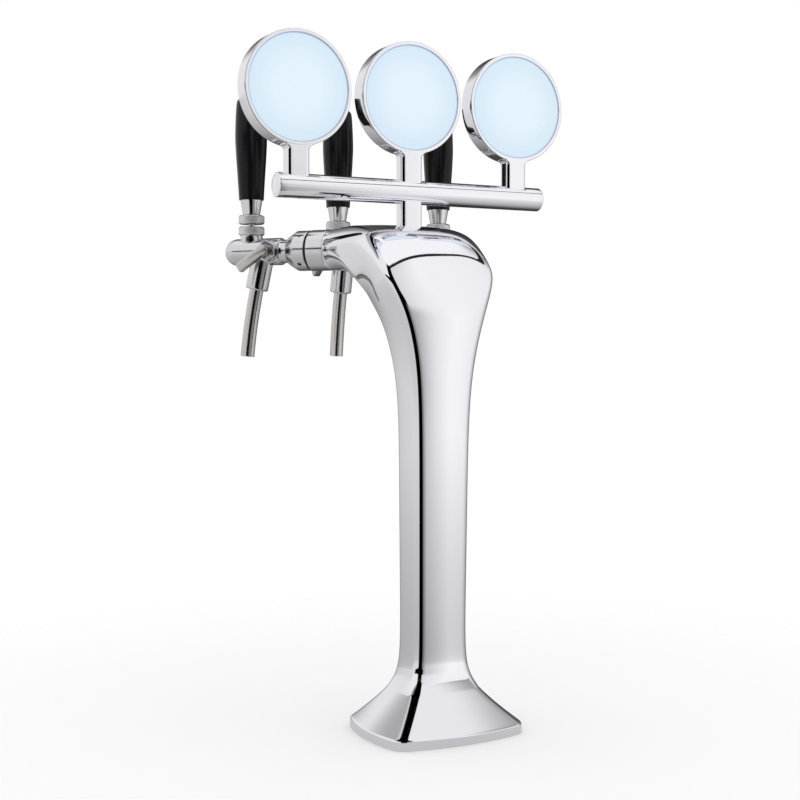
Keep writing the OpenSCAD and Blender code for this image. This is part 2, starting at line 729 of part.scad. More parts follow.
// A collar with both edges chamfered
module knurled_collar() rotate_extrude() polygon([
  [0, 0], [knurl_diameter / 2 - knurl_chamfer, 0], [knurl_diameter / 2, knurl_chamfer],
  [knurl_diameter / 2, knurl_height - knurl_chamfer], [knurl_diameter / 2 - knurl_chamfer, knurl_height],
  [0, knurl_height]
]);

module bonnet_collars() color(steel) all_taps() at_handle() difference() {
  translate([0, 0, bonnet_height]) knurled_collar();
  translate([0, 0, pivot_height]) sphere(r = ball_radius + run);
  translate([0, 0, bonnet_height - 1]) cylinder(h = pivot_height - bonnet_height + 1, r = ball_radius + run);
  translate([0, 0, pivot_height]) cylinder(h = knurl_height + bonnet_height, r = ball_radius - 0.6);
}

// Heights of the handle's pieces above the tap axis
lock_height = bonnet_height + knurl_height + knurl_gap;
ferrule_foot = lock_height + knurl_height;
grip_base = ferrule_foot + ferrule_height;
stud_reach = 20;
finger_diameter = 3.6;
tip_radius = 3;
stem_diameter = 5;
module lever(side) color(steel) at_tap(side) at_handle() {
  cylinder(h = pivot_height, d = finger_diameter);
  sphere(r = tip_radius);
  translate([0, 0, pivot_height]) sphere(r = ball_radius);
  translate([0, 0, pivot_height]) cylinder(h = lock_height - pivot_height, d = stem_diameter);
  translate([0, 0, lock_height]) cylinder(h = grip_base + stud_reach - lock_height, d = stud_diameter);
}

module stud_hole() translate([0, 0, lock_height - 1])
  cylinder(h = grip_base + stud_reach + fit - lock_height + 1, d = stud_diameter + 2 * fit);

module lock_collar(side) color(steel) at_tap(side) at_handle() difference() {
  translate([0, 0, lock_height]) knurled_collar();
  stud_hole();
}

module ferrule(side) color(steel) at_tap(side) at_handle() difference() {
  translate([0, 0, ferrule_foot]) cylinder(h = ferrule_height, d1 = ferrule_small, d2 = ferrule_large);
  stud_hole();
}

// Grip radius: swells from the foot to the belly, then closes in a rounded top
belly_height = 60;
top_round = 9;
module grip(side) color("black") at_tap(side) at_handle() difference() {
  translate([0, 0, grip_base]) rotate_extrude() polygon(concat(
    [[0, 0]],
    curve([
      [grip_foot / 2, 0],
      [lerp(grip_foot, grip_belly, 0.4) / 2, 0.35 * belly_height],
      [lerp(grip_foot, grip_belly, 0.82) / 2, 0.7 * belly_height],
      [grip_belly / 2, belly_height],
      [grip_belly / 2 - 1.2, grip_height - top_round],
      [grip_belly / 2 - 3.4, grip_height - 3.4],
      [grip_belly / 2 - 8, grip_height - 0.5],
      [0, grip_height]
    ], 4)
  ));
  stud_hole();
}

// The plunger's head takes the lever's fingertip; its disc closes on the seat
head_half = 7;
disc_thickness = 2.8;
module plunger(side) color(steel) at_tap(side) difference() {
  union() {
    along_tap(handle_distance - head_half, handle_distance + head_half, chamber_bore - 2 * run);
    along_tap(seat_start - run, handle_distance - head_half, spindle_diameter);
    along_tap(seat_start - run - disc_thickness, seat_start - run, chamber_bore - 1.6);
  }
  at_handle() {
    translate([0, 0, -tip_radius - run]) cylinder(h = chamber_bore, r = tip_radius + run);
    translate([0, 0, tip_radius]) cylinder(h = chamber_bore / 2, r1 = tip_radius + run, r2 = tip_radius + 4);
  }
}

module gland_nuts() color(chrome) all_taps() at_control() difference() {
  translate([0, 0, control_seat]) cylinder(h = gland_height, d = gland_diameter, $fn = 6);
  cylinder(h = 2 * lever_offset, d = spindle_diameter + 2 * run);
}

lever_thickness = 7;
lever_foot = lever_offset - lever_thickness / 2;
module flow_lever(side) color(steel) at_tap(side) at_control() difference() {
  translate([0, 0, lever_foot]) rotate([0, 0, lever_droop]) {
    cylinder(h = lever_thickness, d = lever_width + 1.6);
    translate([0, -lever_width / 2, 0]) cube([lever_length, lever_width, lever_thickness]);
  }
  cylinder(h = lever_offset, d = spindle_diameter + 2 * fit);
}

spindle_start = chamber_bore / 2 + 1;
module flow_spindle(side) color(steel) at_tap(side) at_control()
  translate([0, 0, spindle_start]) cylinder(h = lever_offset - spindle_start - fit, d = spindle_diameter);

tower_body();
base_gasket();
support_post();
cross_bar();
bar_end_caps();
tie_studs();
shank_collars();
dark_washers();
coupling_nuts();
shank_seals();
bonnet_collars();
gland_nuts();
medallion_housing(0);  // medallion_housing_left
medallion_housing(1);  // medallion_housing_middle
medallion_housing(2);  // medallion_housing_right
lens(0);  // lens_left
lens(1);  // lens_middle
lens(2);  // lens_right
led_board(0);  // led_board_left
led_board(1);  // led_board_middle
led_board(2);  // led_board_right
rear_cover(0);  // rear_cover_left
rear_cover(1);  // rear_cover_middle
rear_cover(2);  // rear_cover_right
shank(0);  // shank_left
shank(1);  // shank_middle
shank(2);  // shank_right
product_tube(0);  // product_tube_left
product_tube(1);  // product_tube_middle
product_tube(2);  // product_tube_right
tap_body(0);  // tap_body_left
tap_body(1);  // tap_body_middle
tap_body(2);  // tap_body_right
spout(0);  // spout_left
spout(1);  // spout_middle
spout(2);  // spout_right
lever(0);  // lever_left
lever(1);  // lever_middle
lever(2);  // lever_right
lock_collar(0);  // lock_collar_left
lock_collar(1);  // lock_collar_middle
lock_collar(2);  // lock_collar_right
ferrule(0);  // ferrule_left
ferrule(1);  // ferrule_middle
ferrule(2);  // ferrule_right
grip(0);  // grip_left
grip(1);  // grip_middle
grip(2);  // grip_right
plunger(0);  // plunger_left
plunger(1);  // plunger_middle
plunger(2);  // plunger_right
flow_lever(0);  // flow_lever_left
flow_lever(1);  // flow_lever_middle
flow_lever(2);  // flow_lever_right
flow_spindle(0);  // flow_spindle_left
flow_spindle(1);  // flow_spindle_middle
flow_spindle(2);  // flow_spindle_right
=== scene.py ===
import json
import math

import bmesh
import bpy
import numpy as np
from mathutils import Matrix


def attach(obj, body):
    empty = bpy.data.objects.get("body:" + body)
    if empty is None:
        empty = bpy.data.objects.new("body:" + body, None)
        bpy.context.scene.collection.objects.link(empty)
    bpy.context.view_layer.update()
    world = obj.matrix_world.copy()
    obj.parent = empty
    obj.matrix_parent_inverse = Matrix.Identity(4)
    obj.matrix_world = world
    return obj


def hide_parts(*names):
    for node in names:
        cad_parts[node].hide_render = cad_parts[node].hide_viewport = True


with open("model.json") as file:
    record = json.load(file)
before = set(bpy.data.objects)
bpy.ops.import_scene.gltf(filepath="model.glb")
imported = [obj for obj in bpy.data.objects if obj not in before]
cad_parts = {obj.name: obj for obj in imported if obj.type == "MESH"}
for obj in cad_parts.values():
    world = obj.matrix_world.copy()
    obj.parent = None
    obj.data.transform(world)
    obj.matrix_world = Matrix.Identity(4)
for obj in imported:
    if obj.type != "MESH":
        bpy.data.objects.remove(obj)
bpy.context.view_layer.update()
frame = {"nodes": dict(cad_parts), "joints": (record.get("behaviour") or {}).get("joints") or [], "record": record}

mm = 0.001
fullTurn = 2 * math.pi
sideNames = ["left", "middle", "right"]
print("stage: frame loaded")


def lerp(a, b, t):
    # Straight mix of a and b
    return a + (b - a) * t


def smoothStep(low, high, value):
    # 0 below low, 1 above high, 3t^2 - 2t^3 between them
    t = np.clip((value - low) / (high - low), 0, 1)
    return t * t * (3 - 2 * t)


def unit(vector):
    # The same direction at length one
    return vector / np.linalg.norm(vector)


def softCorners(corners, cut, steps=6, closed=False):
    # Every corner of a line of points becomes a circular arc (a conic with weight cos of half its turn)
    # that starts and ends at the given distance from the corner
    corners = np.asarray(corners, float)
    toBefore = np.roll(corners, 1, axis=0) - corners
    toAfter = np.roll(corners, -1, axis=0) - corners
    lengthBefore = np.linalg.norm(toBefore, axis=1, keepdims=True) + 1e-12
    lengthAfter = np.linalg.norm(toAfter, axis=1, keepdims=True) + 1e-12
    shorter = np.minimum(lengthBefore, lengthAfter)
    reach = np.minimum(np.broadcast_to(cut, len(corners))[:, None], 0.49 * shorter)
    start = corners + toBefore / lengthBefore * reach
    end = corners + toAfter / lengthAfter * reach
    turnCosine = -(toBefore / lengthBefore * toAfter / lengthAfter).sum(axis=1)
    weight = np.sqrt(np.clip((1 + turnCosine) / 2, 0, 1))[:, None, None]
    t = np.linspace(0, 1, steps)[None, :, None]
    shares = [(1 - t) ** 2, 2 * weight * t * (1 - t), t ** 2]
    arcs = shares[0] * start[:, None] + shares[1] * corners[:, None] + shares[2] * end[:, None]
    arcs = arcs / (shares[0] + shares[1] + shares[2])
    if closed:
        line = arcs.reshape(-1, 2)
        return np.concatenate([line, line[:1]])
    return np.concatenate([corners[:1], arcs[1:-1].reshape(-1, 2), corners[-1:]])


def refine(profile, longest):
    # Long stretches of a line of points are split evenly, so that none is longer than the given length
    gaps = np.linalg.norm(np.diff(profile, axis=0), axis=1)
    parts = np.maximum(1, np.ceil(gaps / longest)).astype(int)
    start = np.repeat(np.arange(len(gaps)), parts)
    first = np.repeat(np.cumsum(parts) - parts, parts)
    share = (np.arange(len(start)) - first) / parts[start]
    mixed = lerp(profile[start], profile[start + 1], share[:, None])
    return np.concatenate([mixed, profile[-1:]])


def gridPart(points, inward=False):
    # A surface through rows and columns of points; UV are lengths along and across the rows.
    # The sign of the enclosed volume turns its faces outward, or inward for a hollow
    rows, columns = points.shape[:2]
    index = np.arange(rows * columns).reshape(rows, columns)
    quads = np.stack([index[:-1, :-1], index[:-1, 1:], index[1:, 1:], index[1:, :-1]], axis=-1)
    quads = quads.reshape(-1, 4)
    across = np.linalg.norm(np.diff(points, axis=1), axis=2).mean(axis=0)
    along = np.linalg.norm(np.diff(points, axis=0), axis=2).mean(axis=1)
    u = np.concatenate([[0], np.cumsum(across)])
    v = np.concatenate([[0], np.cumsum(along)])
    uv = np.stack(np.broadcast_arrays(u[None, :], v[:, None]), axis=-1).reshape(-1, 2)
    flat = points.reshape(-1, 3)
    local = (flat - flat.mean(axis=0))[quads]
    areas = np.cross(local[:, 2] - local[:, 0], local[:, 3] - local[:, 1])
    volume = (areas * local.mean(axis=1)).sum()
    if (volume < 0) != inward:
        quads = quads[:, ::-1]
    return flat, quads, uv


def pointsAround(place, turn, radius, height):
    # Radius times cosine and sine of the turn in the first two axes of a place, height in its third
    origin, first, second, axis = place
    direction = np.cos(turn)[..., None] * first + np.sin(turn)[..., None] * second
    return origin + radius[..., None] * direction + height[..., None] * axis


def revolve(profile, place, columns=96, inward=False):
    # Radius and height of a profile, turned about the third axis of its place
    turn = fullTurn * np.linspace(-0.25, 0.75, columns + 1)
    return gridPart(pointsAround(place, turn[None, :], profile[:, 0:1], profile[:, 1:2]), inward)


def turned(corners, cuts, place, columns, longest=100):
    # A line of corners, each rounded by its cut, turned about the third axis of its place
    return revolve(refine(softCorners(corners, cuts), longest), place, columns)


def rodLine(radius, low, high):
    # Corners of a round rod between two heights
    return [[0, low], [radius, low], [radius, high], [0, high]]


def prism(outline, rows, place):
    # An outline in the first two axes of its place, repeated at rows of (height, scale, offset outward),
    # closed at both ends by a point in its middle
    origin, first, second, axis = place
    middle = outline[:-1].mean(axis=0)
    tangent = np.roll(outline[:-1], -1, axis=0) - np.roll(outline[:-1], 1, axis=0)
    normal = np.stack([tangent[:, 1], -tangent[:, 0]], axis=1)
    normal = normal / (np.linalg.norm(normal, axis=1, keepdims=True) + 1e-12)
    normal = np.concatenate([normal, normal[:1]])
    rows = np.asarray(rows, float)
    flat = middle + (outline - middle) * rows[:, 1, None, None] + normal * rows[:, 2, None, None]
    points = origin + flat[..., :1] * first + flat[..., 1:] * second + rows[:, 0, None, None] * axis
    return gridPart(points)


def weld(mesh):
    # Points in the same place become one, which closes seams and poles
    work = bmesh.new()
    work.from_mesh(mesh)
    bmesh.ops.remove_doubles(work, verts=work.verts, dist=3e-7)
    work.to_mesh(mesh)
    work.free()


def finishMesh(mesh, sharpAngle):
    # Smooth faces with sharp edges only where the surface turns by more than the angle
    mesh.shade_smooth()
    mesh.set_sharp_from_angle(angle=math.radians(sharpAngle))
    mesh.update()


def buildPiece(name, parts, look, nodes, body="tower", sharpAngle=38):
    # One object from several surfaces in millimetres, with the material of its look, tied to its body; its solid
    # nodes are hidden
    starts = np.cumsum([0] + [len(part[0]) for part in parts])
    points = np.concatenate([part[0] for part in parts]) * mm
    quads = np.concatenate([part[1] + start for part, start in zip(parts, starts)])
    uv = np.concatenate([part[2] for part in parts]) * mm
    mesh = bpy.data.meshes.new(name)
    mesh.from_pydata(points.tolist(), [], quads.tolist())
    layer = mesh.uv_layers.new(name="lengths")
    layer.uv.foreach_set("vector", uv[quads.ravel()].ravel().astype(np.float32))
    weld(mesh)
    finishMesh(mesh, sharpAngle)
    piece = bpy.data.objects.new(name, mesh)
    bpy.context.scene.collection.objects.link(piece)
    mesh.materials.append(materials[look])
    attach(piece, body)
    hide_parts(*nodes)
    return piece


class ShaderTree:
    # A new material, with short names for making and linking its nodes

    def __init__(self, name):
        self.material = bpy.data.materials.new(name)
        self.material.use_nodes = True
        self.nodes = self.material.node_tree.nodes
        self.surface = self.nodes["Material Output"].inputs["Surface"]
        self.place = self.nodes.new("ShaderNodeTexCoord").outputs

    def wire(self, source, socket):
        # An output is linked to the socket, a constant is written on it
        if isinstance(source, bpy.types.NodeSocket):
            self.material.node_tree.links.new(source, socket)
        else:
            socket.default_value = source

    def node(self, kind, sources, **options):
        # One node with its options and the sources of its sockets
        node = self.nodes.new("ShaderNode" + kind)
        for option, value in options.items():
            setattr(node, option, value)
        for socket, source in sources.items():
            self.wire(source, node.inputs[socket])
        return node

    def calculate(self, operation, *values):
        # One arithmetic node
        return self.node("Math", dict(enumerate(values)), operation=operation).outputs["Value"]

    def product(self, *values):
        # All the values multiplied
        result = values[0]
        for value in values[1:]:
            result = self.calculate("MULTIPLY", result, value)
        return result

    def step(self, value, low, high, start=0, end=1):
        # Smooth change from start at low to end at high
        sources = {"Value": value, "From Min": low, "From Max": high, "To Min": start, "To Max": end}
        return self.node("MapRange", sources, interpolation_type="SMOOTHSTEP").outputs["Result"]

    def mix(self, share, first, second, kind="FLOAT"):
        # Straight mix of two values or colours
        return self.node("Mix", {"Factor": share, "A": first, "B": second}, data_type=kind).outputs["Result"]

    def split(self, vector):
        # The X, Y and Z of a vector
        outputs = self.node("SeparateXYZ", {"Vector": vector}).outputs
        return outputs["X"], outputs["Y"], outputs["Z"]

    def distance(self):
        # Distance from the tower's foot
        return self.node("VectorMath", {0: self.place["Object"]}, operation="LENGTH").outputs["Value"]

    def shade(self, sources):
        # The sources of the principled shader's sockets
        for socket, source in sources.items():
            self.wire(source, self.nodes["Principled BSDF"].inputs[socket])

    def emission(self, strength):
        # White light of a given strength
        return self.node("Emission", {"Color": (1, 1, 1, 1), "Strength": strength}).outputs["Emission"]

    def matt(self, grey):
        # A plain diffuse grey
        return self.node("BsdfDiffuse", {"Color": (grey, grey, grey, 1)}).outputs["BSDF"]

    def cover(self, share, shader):
        # The surface is clear where the share is 0, and has the shader where it is 1
        clear = self.node("BsdfTransparent", {"Color": (1, 1, 1, 1)}).outputs["BSDF"]
        mixed = self.node("MixShader", {0: share, 1: clear, 2: shader})
        self.wire(mixed.outputs["Shader"], self.surface)


def surfaceMaterial(name, look):
    # Principled surface: a slow noise in object space moves its tone and roughness,
    # a fine noise stretched along the UV direction gives the grain of its finish
    tree = ShaderTree(name)
    cloud = tree.node("TexNoise", {"Vector": tree.place["Object"], "Scale": 30, "Detail": 3}).outputs["Fac"]
    spread = look.get("toneSpread", 0.02)
    darker, lighter = [(*[c * share for c in look["colour"]], 1) for share in (1 - spread, 1 + spread)]
    limits = {"Value": cloud, "From Min": 0.3, "From Max": 0.7, "To Min": 0.85 * look["roughness"],
              "To Max": 1.15 * look["roughness"]}
    tree.shade({"Metallic": look["metallic"], "Specular IOR Level": look.get("specular", 0.5),
                "Base Color": tree.mix(cloud, darker, lighter, "RGBA"),
                "Roughness": tree.node("MapRange", limits).outputs["Result"]})
    if "grain" in look:
        stretched = tree.node("Mapping", {"Vector": tree.place["UV"], "Scale": look["grainScale"]})
        grain = tree.node("TexNoise", {"Vector": stretched.outputs["Vector"], "Scale": 1, "Detail": 2})
        bump = {"Height": grain.outputs["Fac"], "Strength": look["grain"], "Distance": 0.0002}
        tree.shade({"Normal": tree.node("Bump", bump).outputs["Normal"]})
    return tree.material


looks = {
    "chrome": {"metallic": 1, "colour": (0.865, 0.858, 0.896), "roughness": 0.045, "toneSpread": 0.008},
    # Tap chrome is rougher than the tower's chrome; its colour is also painted darker, as painted shade for the
    # dimmer surroundings the taps reflect
    "dimmed_tap_chrome": {"metallic": 1, "colour": (0.69, 0.685, 0.7), "roughness": 0.13, "toneSpread": 0.02},
    "steel": {"metallic": 1, "colour": (0.62, 0.62, 0.63), "roughness": 0.26, "grain": 0.1,
              "grainScale": (60, 2500, 1)},
    "spout_steel": {"metallic": 1, "colour": (0.64, 0.615, 0.6), "roughness": 0.16, "toneSpread": 0.03,
                    "grain": 0.05, "grainScale": (1800, 60, 1)},
    "knurled_steel": {"metallic": 1, "colour": (0.74, 0.74, 0.75), "roughness": 0.24, "toneSpread": 0.03},
    "ferrule_steel": {"metallic": 1, "colour": (0.74, 0.74, 0.75), "roughness": 0.12, "grain": 0.05,
                      "grainScale": (60, 2500, 1)},
    "lever_steel": {"metallic": 1, "colour": (0.6, 0.58, 0.56), "roughness": 0.3, "toneSpread": 0.05,
                    "grain": 0.12, "grainScale": (900, 900, 1)},
    "grip": {"metallic": 0, "colour": (0.006, 0.006, 0.007), "roughness": 0.16, "specular": 0.2},
    "board": {"metallic": 0, "colour": (0.8, 0.8, 0.78), "roughness": 0.5},
    "rubber": {"metallic": 0, "colour": (0.03, 0.03, 0.03), "roughness": 0.6, "specular": 0.3},
    "black_washer": {"metallic": 0, "colour": (0.006, 0.006, 0.007), "roughness": 0.4, "specular": 0.15},
}
materials = {name: surfaceMaterial(name, look) for name, look in looks.items()}

lensLook = {
    "middleColour": (0.69, 0.8, 0.88, 1),
    "edgeColour": (0.62, 0.74, 0.85, 1),
    # Painted shade: this colour and the line band below darken a thin ring at the lens edge, standing in for the
    # recess's shadow
    "recessShadowColour": (0.36, 0.5, 0.68, 1),
    "fade": (0.018, 0.0435),
    "line": (0.0437, 0.0449),
    "glow": 0.12,
    "roughness": 0.28,
    "specular": 0.25,
}


def lensMaterial(name, look):
    # Pale blue that deepens with the distance from the middle (the UV length along the profile),
    # with a thin darker line at the edge, painted shade where the ring's recess holds the lens; part of the colour
    # glows, as a lit lens does
    tree = ShaderTree(name)
    reach = tree.split(tree.place["UV"])[1]
    colour = tree.mix(tree.step(reach, *look["fade"]), look["middleColour"], look["edgeColour"], "RGBA")
    # Painted shade: the darker band at the lens edge stands in for the shadow of the ring's recess
    colour = tree.mix(tree.step(reach, *look["line"]), colour, look["recessShadowColour"], "RGBA")
    tree.shade({"Base Color": colour, "Emission Color": colour, "Emission Strength": look["glow"],
                "Roughness": look["roughness"], "Specular IOR Level": look["specular"]})
    return tree.material


materials["lens"] = lensMaterial("lens", lensLook)
slotOf = {part["node"]: part["material_slot"] for part in frame["record"]["subparts"]}
for nodeName, node in frame["nodes"].items():
    node.data.materials.clear()
    node.data.materials.append(materials[slotOf[nodeName]])
print("stage: materials made")

cameraPlace = {
    "location": (-0.5662, -1.0093, 0.3251),
    "tilt": 90 - 2.24,
    "turn": -27.81,
    "lens": 61.8,
    "sensor": 36,
}
cameraData = bpy.data.cameras.new("camera")
cameraData.lens = cameraPlace["lens"]
cameraData.sensor_width = cameraPlace["sensor"]
camera = bpy.data.objects.new("camera", cameraData)
camera.location = cameraPlace["location"]
camera.rotation_euler = (math.radians(cameraPlace["tilt"]), 0, math.radians(cameraPlace["turn"]))
bpy.context.scene.collection.objects.link(camera)
bpy.context.scene.camera = camera

bpy.context.scene.view_settings.view_transform = "Standard"
world = bpy.data.worlds.new("studio")
world.use_nodes = True
world.node_tree.nodes["Background"].inputs["Color"].default_value = (1, 1, 1, 1)
world.node_tree.nodes["Background"].inputs["Strength"].default_value = 1
bpy.context.scene.world = world

studio = {
    "cameraAzimuth": 33,
    "ramp": [(-180, 0.3), (-165, 0.1), (-145, 0.03), (-125, 0.08), (-105, 0.35), (-83, 0.6), (-57, 0.8),
             (-38, 0.92), (-31, 0.97), (-25, 0.74), (-18, 0.5), (-8, 0.34), (5, 0.22), (14, 0.15),
             (50, 0.15), (56, 0.72), (100, 0.72), (140, 0.7), (152, 0.66), (163, 0.54), (180, 0.3)],
    "frontFrom": (-0.6, -0.2), "calmFrom": (7, 16), "calm": 0.92, "calmShare": 0.65,
    "paleFrom": (2, 9), "pale": 0.8, "paleSide": (0.42, 0.62),
    "ceilingFrom": (50, 60), "ceiling": 0.95, "plainTable": (0.12, 0.25),
    "stripeRight": (-0.36, -0.31), "stripeLeft": (0.29, 0.33), "stripeBack": (-0.1, 0.1),
    "stripeTop": (55, 60),
    "wideFrom": (5.5, 7.5), "wideTo": (13, 18), "wideRight": 0.22, "wideLeft": -0.5,
}


def mirrorLevel(tree, direction):
    # Brightness that a mirror sees in a direction: a ramp over the azimuth (from -Y towards -X) that calms
    # down upwards, a pale side and ceiling, and a dark stripe behind the camera, wider at the stems' height
    calculate = tree.calculate
    product = tree.product
    step = tree.step
    x, y, z = tree.split(direction)
    azimuth = calculate("ARCTAN2", product(x, -1), product(y, -1))
    elevation = calculate("DEGREES", calculate("ARCSINE", z))
    turn = math.radians(studio["cameraAzimuth"])
    lateral = calculate("MULTIPLY_ADD", x, -math.cos(turn), product(y, math.sin(turn)))
    forward = calculate("MULTIPLY_ADD", x, -math.sin(turn), product(y, -math.cos(turn)))
    ramp = tree.node("ValToRGB", {"Fac": calculate("MULTIPLY_ADD", azimuth, 1 / fullTurn, 0.5)})
    elements = ramp.color_ramp.elements
    for degrees, grey in studio["ramp"][1:-1]:
        elements.new(degrees / 360 + 0.5)
    for element, (degrees, grey) in zip(elements, studio["ramp"]):
        element.position = degrees / 360 + 0.5
        element.color = (grey, grey, grey, 1)
    front = step(forward, *studio["frontFrom"])
    calmShare = product(front, step(elevation, *studio["calmFrom"], 0, studio["calmShare"]))
    level = tree.mix(calmShare, ramp.outputs["Color"], studio["calm"])
    paleShare = product(step(lateral, *studio["paleSide"]), calculate("SUBTRACT", 1, front),
                        step(elevation, *studio["paleFrom"]))
    level = tree.mix(paleShare, level, studio["pale"])
    level = tree.mix(step(elevation, *studio["ceilingFrom"]), level, studio["ceiling"])
    wide = product(step(elevation, *studio["wideFrom"]), step(elevation, *studio["wideTo"], 1, 0))
    rightSide = calculate("MULTIPLY_ADD", wide, studio["wideRight"], lateral)
    leftSide = calculate("MULTIPLY_ADD", wide, studio["wideLeft"], lateral)
    stripe = product(step(rightSide, *studio["stripeRight"]), step(leftSide, *studio["stripeLeft"], 1, 0),
                     step(forward, *studio["stripeBack"]), step(elevation, *studio["stripeTop"], 1, 0))
    return tree.mix(stripe, level, 0)


def stagePiece(name, points, mirrorOnly=True):
    # A studio surface through a grid of points, seen only in mirrors or everywhere but in them
    flat, quads = gridPart(points)[:2]
    mesh = bpy.data.meshes.new(name)
    mesh.from_pydata(flat.tolist(), [], quads.tolist())
    weld(mesh)
    piece = bpy.data.objects.new(name, mesh)
    bpy.context.scene.collection.objects.link(piece)
    tree = ShaderTree(name)
    tree.nodes.remove(tree.nodes["Principled BSDF"])
    mesh.materials.append(tree.material)
    for ray in ("camera", "diffuse", "transmission", "volume_scatter", "shadow"):
        setattr(piece, "visible_" + ray, not mirrorOnly)
    piece.visible_glossy = mirrorOnly
    return tree


def discGrid(radius, height):
    # Rings about the tower's foot
    reach = np.linspace(0, radius, 30)[:, None]
    turn = np.linspace(0, fullTurn, 97)
    return np.stack([reach * np.cos(turn), reach * np.sin(turn), np.full((30, 97), height)], axis=-1)


def domeGrid(radius):
    # Circles of latitude of a sphere about the tower's foot
    rise = np.linspace(-math.pi / 2, math.pi / 2, 49)[:, None]
    turn = np.linspace(0, fullTurn, 97)
    height = np.broadcast_to(np.sin(rise), (49, 97))
    return radius * np.stack([np.cos(rise) * np.cos(turn), np.cos(rise) * np.sin(turn), height], axis=-1)


def glowAround(tree, near, growth):
    # Gives a studio surface the brightness towards each of its points, times a grey that grows with
    # the square root of the distance from the tower's foot
    distance = tree.distance()
    direction = tree.node("VectorMath", {0: tree.place["Object"]}, operation="NORMALIZE").outputs["Vector"]
    grey = tree.calculate("MULTIPLY_ADD", tree.calculate("SQRT", distance), growth, near)
    level = tree.mix(tree.step(distance, *studio["plainTable"]), 1, mirrorLevel(tree, direction))
    tree.wire(tree.emission(tree.product(grey, level)), tree.surface)


dome = {"radius": 6, "near": 1.09, "growth": 0}
table = {"radius": 2.4, "height": -0.0006, "near": 0.5, "growth": 0.38}
glowAround(stagePiece("studioDome", domeGrid(dome["radius"])), dome["near"], dome["growth"])
tableGrid = discGrid(table["radius"], table["height"])
glowAround(stagePiece("tableGlow", tableGrid), table["near"], table["growth"])

batten = {"azimuths": (-130, 35), "elevation": 54, "reach": 0.45, "height": 0.95, "widths": (0.058, 0.075),
          "widenFrom": (-45, -15), "sink": 0.228, "sinkFrom": (47, 84), "grey": 0.02}


def battenGrid():
    # A dark band about the tower, bent round the camera's side and square to the line of sight
    # from the hood; it sinks towards its right end and widens towards its left end
    azimuth = np.linspace(*batten["azimuths"], 60)
    turn = np.radians(azimuth)
    slope = math.radians(batten["elevation"])
    width = lerp(*batten["widths"], smoothStep(*batten["widenFrom"], azimuth))
    sink = batten["sink"] * smoothStep(*batten["sinkFrom"], -azimuth)
    offset = np.array([-0.5, 0.5])[:, None] * width
    reach = batten["reach"] - offset * math.sin(slope)
    height = batten["height"] - sink + offset * math.cos(slope)
    return np.stack([-reach * np.sin(turn), -reach * np.cos(turn), height], axis=-1)


battenTree = stagePiece("batten", battenGrid())
battenTree.wire(battenTree.matt(batten["grey"]), battenTree.surface)

canopy = {"x": (-0.34, 0.55), "y": (-0.42, 0.62), "z": 0.31, "patchX": (-0.3, 0), "patchY": (-0.42, 0.05),
          "soft": 0.012, "level": 0.92, "fallX": (0.15, 0.38), "rightLevel": 0.4, "fallY": (0.02, 0.12),
          "backLevel": 0.45, "fadeX": (-0.34, -0.22), "fadeY": (0.25, 0.6)}


def footCanopy():
    # A pale level sheet over the foot, seen only from below, with a dark patch towards the camera
    x, y = np.meshgrid(canopy["x"], canopy["y"])
    tree = stagePiece("footCanopy", np.stack([x, y, np.full((2, 2), canopy["z"])], axis=-1))
    x, y = tree.split(tree.place["Object"])[:2]
    soft = canopy["soft"]
    edges = []
    for value, (start, end) in ((x, canopy["patchX"]), (y, canopy["patchY"])):
        edges.append(tree.step(value, start - soft, start + soft))
        edges.append(tree.step(value, end - soft, end + soft, 1, 0))
    level = tree.mix(tree.step(x, *canopy["fallX"]), canopy["level"], canopy["rightLevel"])
    level = tree.mix(tree.step(y, *canopy["fallY"]), level, canopy["backLevel"])
    below = tree.node("NewGeometry", {}).outputs["Backfacing"]
    share = tree.product(below, tree.step(x, *canopy["fadeX"]), tree.step(y, *canopy["fadeY"], 1, 0))
    tree.cover(share, tree.emission(tree.mix(tree.product(*edges), level, 0)))


footCanopy()

floorShape = {"radius": 0.8, "height": -0.0002, "grey": 0.99, "fade": (0.3, 0.75)}


def studioFloor():
    # A pale disc that turns clear with the distance from its middle, so it keeps only a soft contact shadow
    tree = stagePiece("floor", discGrid(floorShape["radius"], floorShape["height"]), mirrorOnly=False)
    tree.cover(tree.step(tree.distance(), *floorShape["fade"], 1, 0), tree.matt(floorShape["grey"]))


studioFloor()
print("stage: camera, light and floor set")

tower = {
    "baseWidth": 134, "baseDepth": 109, "baseBow": 8, "flange": 8, "flareHeight": 56, "flareKnee": 40,
    "columnWidth": 46, "columnDepth": 41, "columnOffset": 4.7, "slim": 2.4, "broad": 1.6, "bow": 0.8,
    "corner": 7,
    "hoodWidth": 106, "hoodDrop": 186, "hoodInset": 1.6, "hoodTuck": 0.4, "hoodStep": 5,
    "crownHeight": 14.5, "crownRise": 3, "crownArch": 12, "archPower": 4, "crownFlat": 1.13, "crownY": 40,
    "shoulderDrop": 25, "throatDrop": 106, "throatSquare": 0.8, "throatFlat": 0.92, "throatTuck": 1.6,
    "flankPower": 2.2, "wall": 3.5, "backWall": 1.2, "tapHeight": 411, "portSpacing": 46.6,
    "outerPortY": 110, "fan": math.radians(40.7), "portRadius": 18.25, "portLip": 0.5, "boltX": 40,
    "boltY": 29, "boltRadius": 2.5, "boltDepth": 12, "grooveInner": 31.17, "grooveOuter": 35.27,
    "grooveDepth": 2, "edgeRound": 1.0, "smoothing": 10, "steps": 20, "sharpAngle": 40,
}
columnBack = tower["columnOffset"] - tower["columnDepth"] / 2
columnFront = tower["columnOffset"] + tower["columnDepth"] / 2
tapHeight = tower["tapHeight"]
hoodReach = tower["outerPortY"] - tower["portRadius"] * math.sin(tower["fan"]) - tower["hoodInset"]
frontHalf = tower["portSpacing"] + tower["portRadius"] * math.cos(tower["fan"]) - tower["hoodTuck"]
frontReach = tower["portRadius"] + tower["portLip"]
hoodBack = columnBack + tower["hoodStep"]


